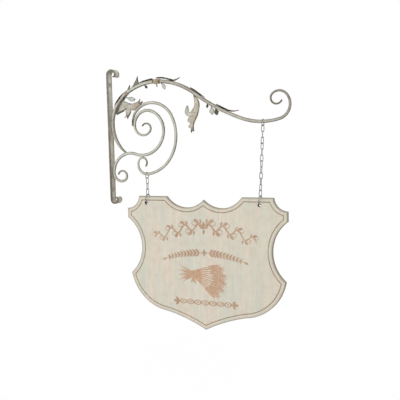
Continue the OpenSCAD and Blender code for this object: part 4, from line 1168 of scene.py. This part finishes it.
RING_SAG = BOARD_RING_R - np.sqrt(BOARD_RING_R ** 2 - (BOARD_T / 2) ** 2)
BOARD_RING_Z = BOARD_TOP - HOLE_DROP + HOLE_R - BOARD_RING_WIRE / 2 - RING_SAG - HOLE_REST + BOARD_RING_R
far_top = station(arm_rise, hang_s)[:2]
near_low = np.array([near_top[0], BOARD_RING_Z + BOARD_RING_R])
far_low = np.array([BOARD_X + HOLES[1] + FAR_RING_OFF, BOARD_RING_Z + BOARD_RING_R])


def leaned(points, origin, lean):
    """Points leaned about the Y axis by an angle in radians and set at an origin [x, z]."""
    x, y, z = np.moveaxis(points, -1, 0)
    return np.stack([origin[0] + x * np.cos(lean) + z * np.sin(lean), y,
                     origin[1] - x * np.sin(lean) + z * np.cos(lean)], -1)


def make_link(name, length, spin, origin, lean):
    """A welded chain link that hangs from an origin: two half circles, two straights and a thicker weld."""
    r = (LINK_W - LINK_WIRE) / 2
    t = np.linspace(0, np.pi, 17)
    straight = np.linspace(-r, r - length, 11)[1:-1]
    line = np.concatenate([
        np.stack([r * np.cos(t), r * np.sin(t) - r, t - np.pi / 2], -1),
        np.stack([0 * straight - r, straight, 0 * straight + np.pi / 2], -1),
        np.stack([-r * np.cos(t), r - length - r * np.sin(t), t + np.pi / 2], -1),
        np.stack([0 * straight + r, straight[::-1], 0 * straight - np.pi / 2], -1)])
    weld = np.exp(-((line[:, 1:2] + length / 2) / 0.9) ** 2) * (line[:, :1] > 0)
    a = full_turn(WIRE_SIDES)
    x, y, z = np.moveaxis(turned_round(line[:, None, :], LINK_WIRE / 2 * (1 + 0.08 * weld), a), -1, 0)
    spun = np.stack([x * np.cos(spin) - y * np.sin(spin), x * np.sin(spin) + y * np.cos(spin), z], -1)
    make_piece("wire_" + name, leaned(spun, origin, lean), grid_faces(*x.shape, looped=True), name, name,
               [wire_steel])


def make_ring(name, middle, radius, wire, lean=0.0):
    """A ring across the bar, open by a saw cut at its back."""
    cut = np.arcsin(RING_CUT / 2 / radius)
    t = np.linspace(cut, TAU - cut, 73)[:, None]
    a = full_turn(WIRE_SIDES)
    reach = radius + wire / 2 * np.cos(a)
    grid = np.stack([wire / 2 * np.sin(a) + 0 * t, reach * np.cos(t), reach * np.sin(t)], -1)
    faces = grid_faces(*grid.shape[:2]).tolist() + end_caps(*grid.shape[:2])
    make_piece("split_" + name, leaned(grid, middle, lean), faces, name, name, [wire_steel])


def make_chain(side, top, low, bar_half, links, turn):
    """A chain from the bar to the board's ring at low: two rings, and links each turned on the next."""
    span = top - low
    down = span / np.hypot(*span)
    lean = np.arctan2(*span)
    ring_reach = bar_half + BAR_RING_WIRE / 2 + SEAT
    make_ring("bar_ring_" + side, top - (BAR_RING_R - ring_reach) * down, BAR_RING_R, BAR_RING_WIRE, lean)
    make_ring("board_ring_" + side, (low[0], BOARD_RING_Z), BOARD_RING_R, BOARD_RING_WIRE)
    first = 2 * BAR_RING_R - ring_reach - (BAR_RING_WIRE + LINK_WIRE) / 2 - SEAT
    last = np.hypot(*span) + (BOARD_RING_WIRE + LINK_WIRE) / 2 + SEAT
    step = (last - first - LINK_WIRE - SEAT) / links
    length = round(100 * (step + LINK_WIRE + SEAT)) / 100
    for i in range(links):
        make_link(f"{side}_link_{i + 1}", length, np.radians(i * turn), top - (first + i * step) * down, lean)


make_chain("near", near_top, near_low, outer_half(outer_hang_s), NEAR_LINKS, NEAR_TURN)
make_chain("far", far_top, far_low, arm_half(hang_s), FAR_LINKS, FAR_TURN)


# Camera and studio, in metres. The camera stands a little above the board's middle, away from the wall

PICTURE_W, FOCAL, SENSOR_W = 400, 651.006, 36.0
EYE = np.array([0.86334, -1.34667, -0.0130])
TURN, TIP, ROLL = np.radians([25.0, 5.21388, -1.39850])
TARGET = np.array([0.24, 0.0, -0.15])
WHITE = (1.0, 1.0, 1.0, 1.0)


def placed(name, data, x, y, z, place):
    """An object with its data in the scene, its axes along x, y and z and its origin at a place."""
    thing = bpy.data.objects.new(name, data)
    bpy.context.scene.collection.objects.link(thing)
    thing.matrix_world = Matrix([*np.stack([x, y, z, place], -1).tolist(), (0, 0, 0, 1)])
    return thing


def make_camera():
    """The camera, with its focal length in pixels of the picture."""
    data = bpy.data.cameras.new("camera")
    data.sensor_width, data.lens = SENSOR_W, FOCAL / PICTURE_W * SENSOR_W
    data.clip_start, data.clip_end = 0.05, 50.0
    forward = np.array([-np.sin(TURN) * np.cos(TIP), np.cos(TURN) * np.cos(TIP), -np.sin(TIP)])
    level = np.array([np.cos(TURN), np.sin(TURN), 0.0])
    upward = np.cross(level, forward)
    right, above = np.cos(ROLL) * level + np.sin(ROLL) * upward, np.cos(ROLL) * upward - np.sin(ROLL) * level
    bpy.context.scene.camera = placed("camera", data, right, above, -forward, EYE)


def studio_floor():
    """Plain white floor far below the sign, which fades out with the distance from its middle."""
    mesh = bpy.data.meshes.new("floor")
    size, z = 6.0, packed_box[0][2] - 0.30
    mesh.from_pydata([(-size, -size, z), (size, -size, z), (size, size, z), (-size, size, z)], [],
                     [(0, 1, 2, 3)])
    material, tree, shader, place = new_material("studio floor", 0.9, specular=0.1)
    shader.inputs["Base Color"].default_value = (0.92, 0.92, 0.91, 1.0)
    away = node(tree, "ShaderNodeVectorMath", {0: place, 1: (1.0, 1.0, 0.0)}, operation="MULTIPLY").outputs[0]
    far = node(tree, "ShaderNodeVectorMath", {0: away}, operation="LENGTH").outputs["Value"]
    tree.links.new(spread(tree, far, 0.5, 2.2, 1.0, 0.0), shader.inputs["Alpha"])
    seen = times(tree, tree.nodes.new("ShaderNodeLightPath").outputs["Is Camera Ray"], 0.97)
    white = node(tree, "ShaderNodeEmission", {"Color": WHITE, "Strength": 1.0}).outputs[0]
    both = node(tree, "ShaderNodeMixShader", {0: seen, 1: shader.outputs[0], 2: white}).outputs[0]
    tree.links.new(both, tree.nodes["Material Output"].inputs["Surface"])
    mesh.materials.append(material)
    floor = placed("floor", mesh, *np.eye(3), np.zeros(3))


def studio_world():
    """White to the camera and to reflections, and softer on the object itself."""
    world = bpy.data.worlds.new("studio")
    world.use_nodes = True
    tree = world.node_tree
    tree.nodes.clear()
    ray = tree.nodes.new("ShaderNodeLightPath").outputs
    seen = maths(tree, "MAXIMUM", ray["Is Camera Ray"],
                 maths(tree, "MAXIMUM", ray["Is Glossy Ray"], ray["Is Transmission Ray"]))
    soft, white = (node(tree, "ShaderNodeBackground", {"Color": WHITE, "Strength": strength}).outputs[0]
                   for strength in (0.62, 1.0))
    both = node(tree, "ShaderNodeMixShader", {0: seen, 1: soft, 2: white})
    node(tree, "ShaderNodeOutputWorld", {"Surface": both.outputs[0]})
    bpy.context.scene.world = world


def area_lamp(name, place, size, power):
    """A square lamp that looks at the middle of the sign."""
    lamp = bpy.data.lights.new(name, "AREA")
    lamp.shape, lamp.size, lamp.energy = "SQUARE", size, power
    z = (place - TARGET) / np.linalg.norm(place - TARGET)
    x = np.cross((0.0, 0.0, 1.0), z)
    x /= np.linalg.norm(x)
    placed(name, lamp, x, np.cross(z, x), z, place)


make_camera()
studio_floor()
studio_world()
area_lamp("key", (1.6, -2.4, 1.3), 1.2, 38.0)
area_lamp("fill", (-1.8, -1.8, 0.6), 1.6, 12.0)
area_lamp("back", (0.4, 2.0, 1.2), 1.6, 16.0)
bpy.context.scene.view_settings.view_transform = "Standard"

FINISHES = {"board": board_paint, "wall_bar": olive_iron, "arm": cream_iron, "inner_scroll": cream_iron,
            "outer_scroll": cream_iron}
for label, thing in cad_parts.items():
    other = wire_steel if "link" in label or "ring" in label else leaf_iron
    for slot in thing.material_slots:
        slot.material = FINISHES.get(label, other)
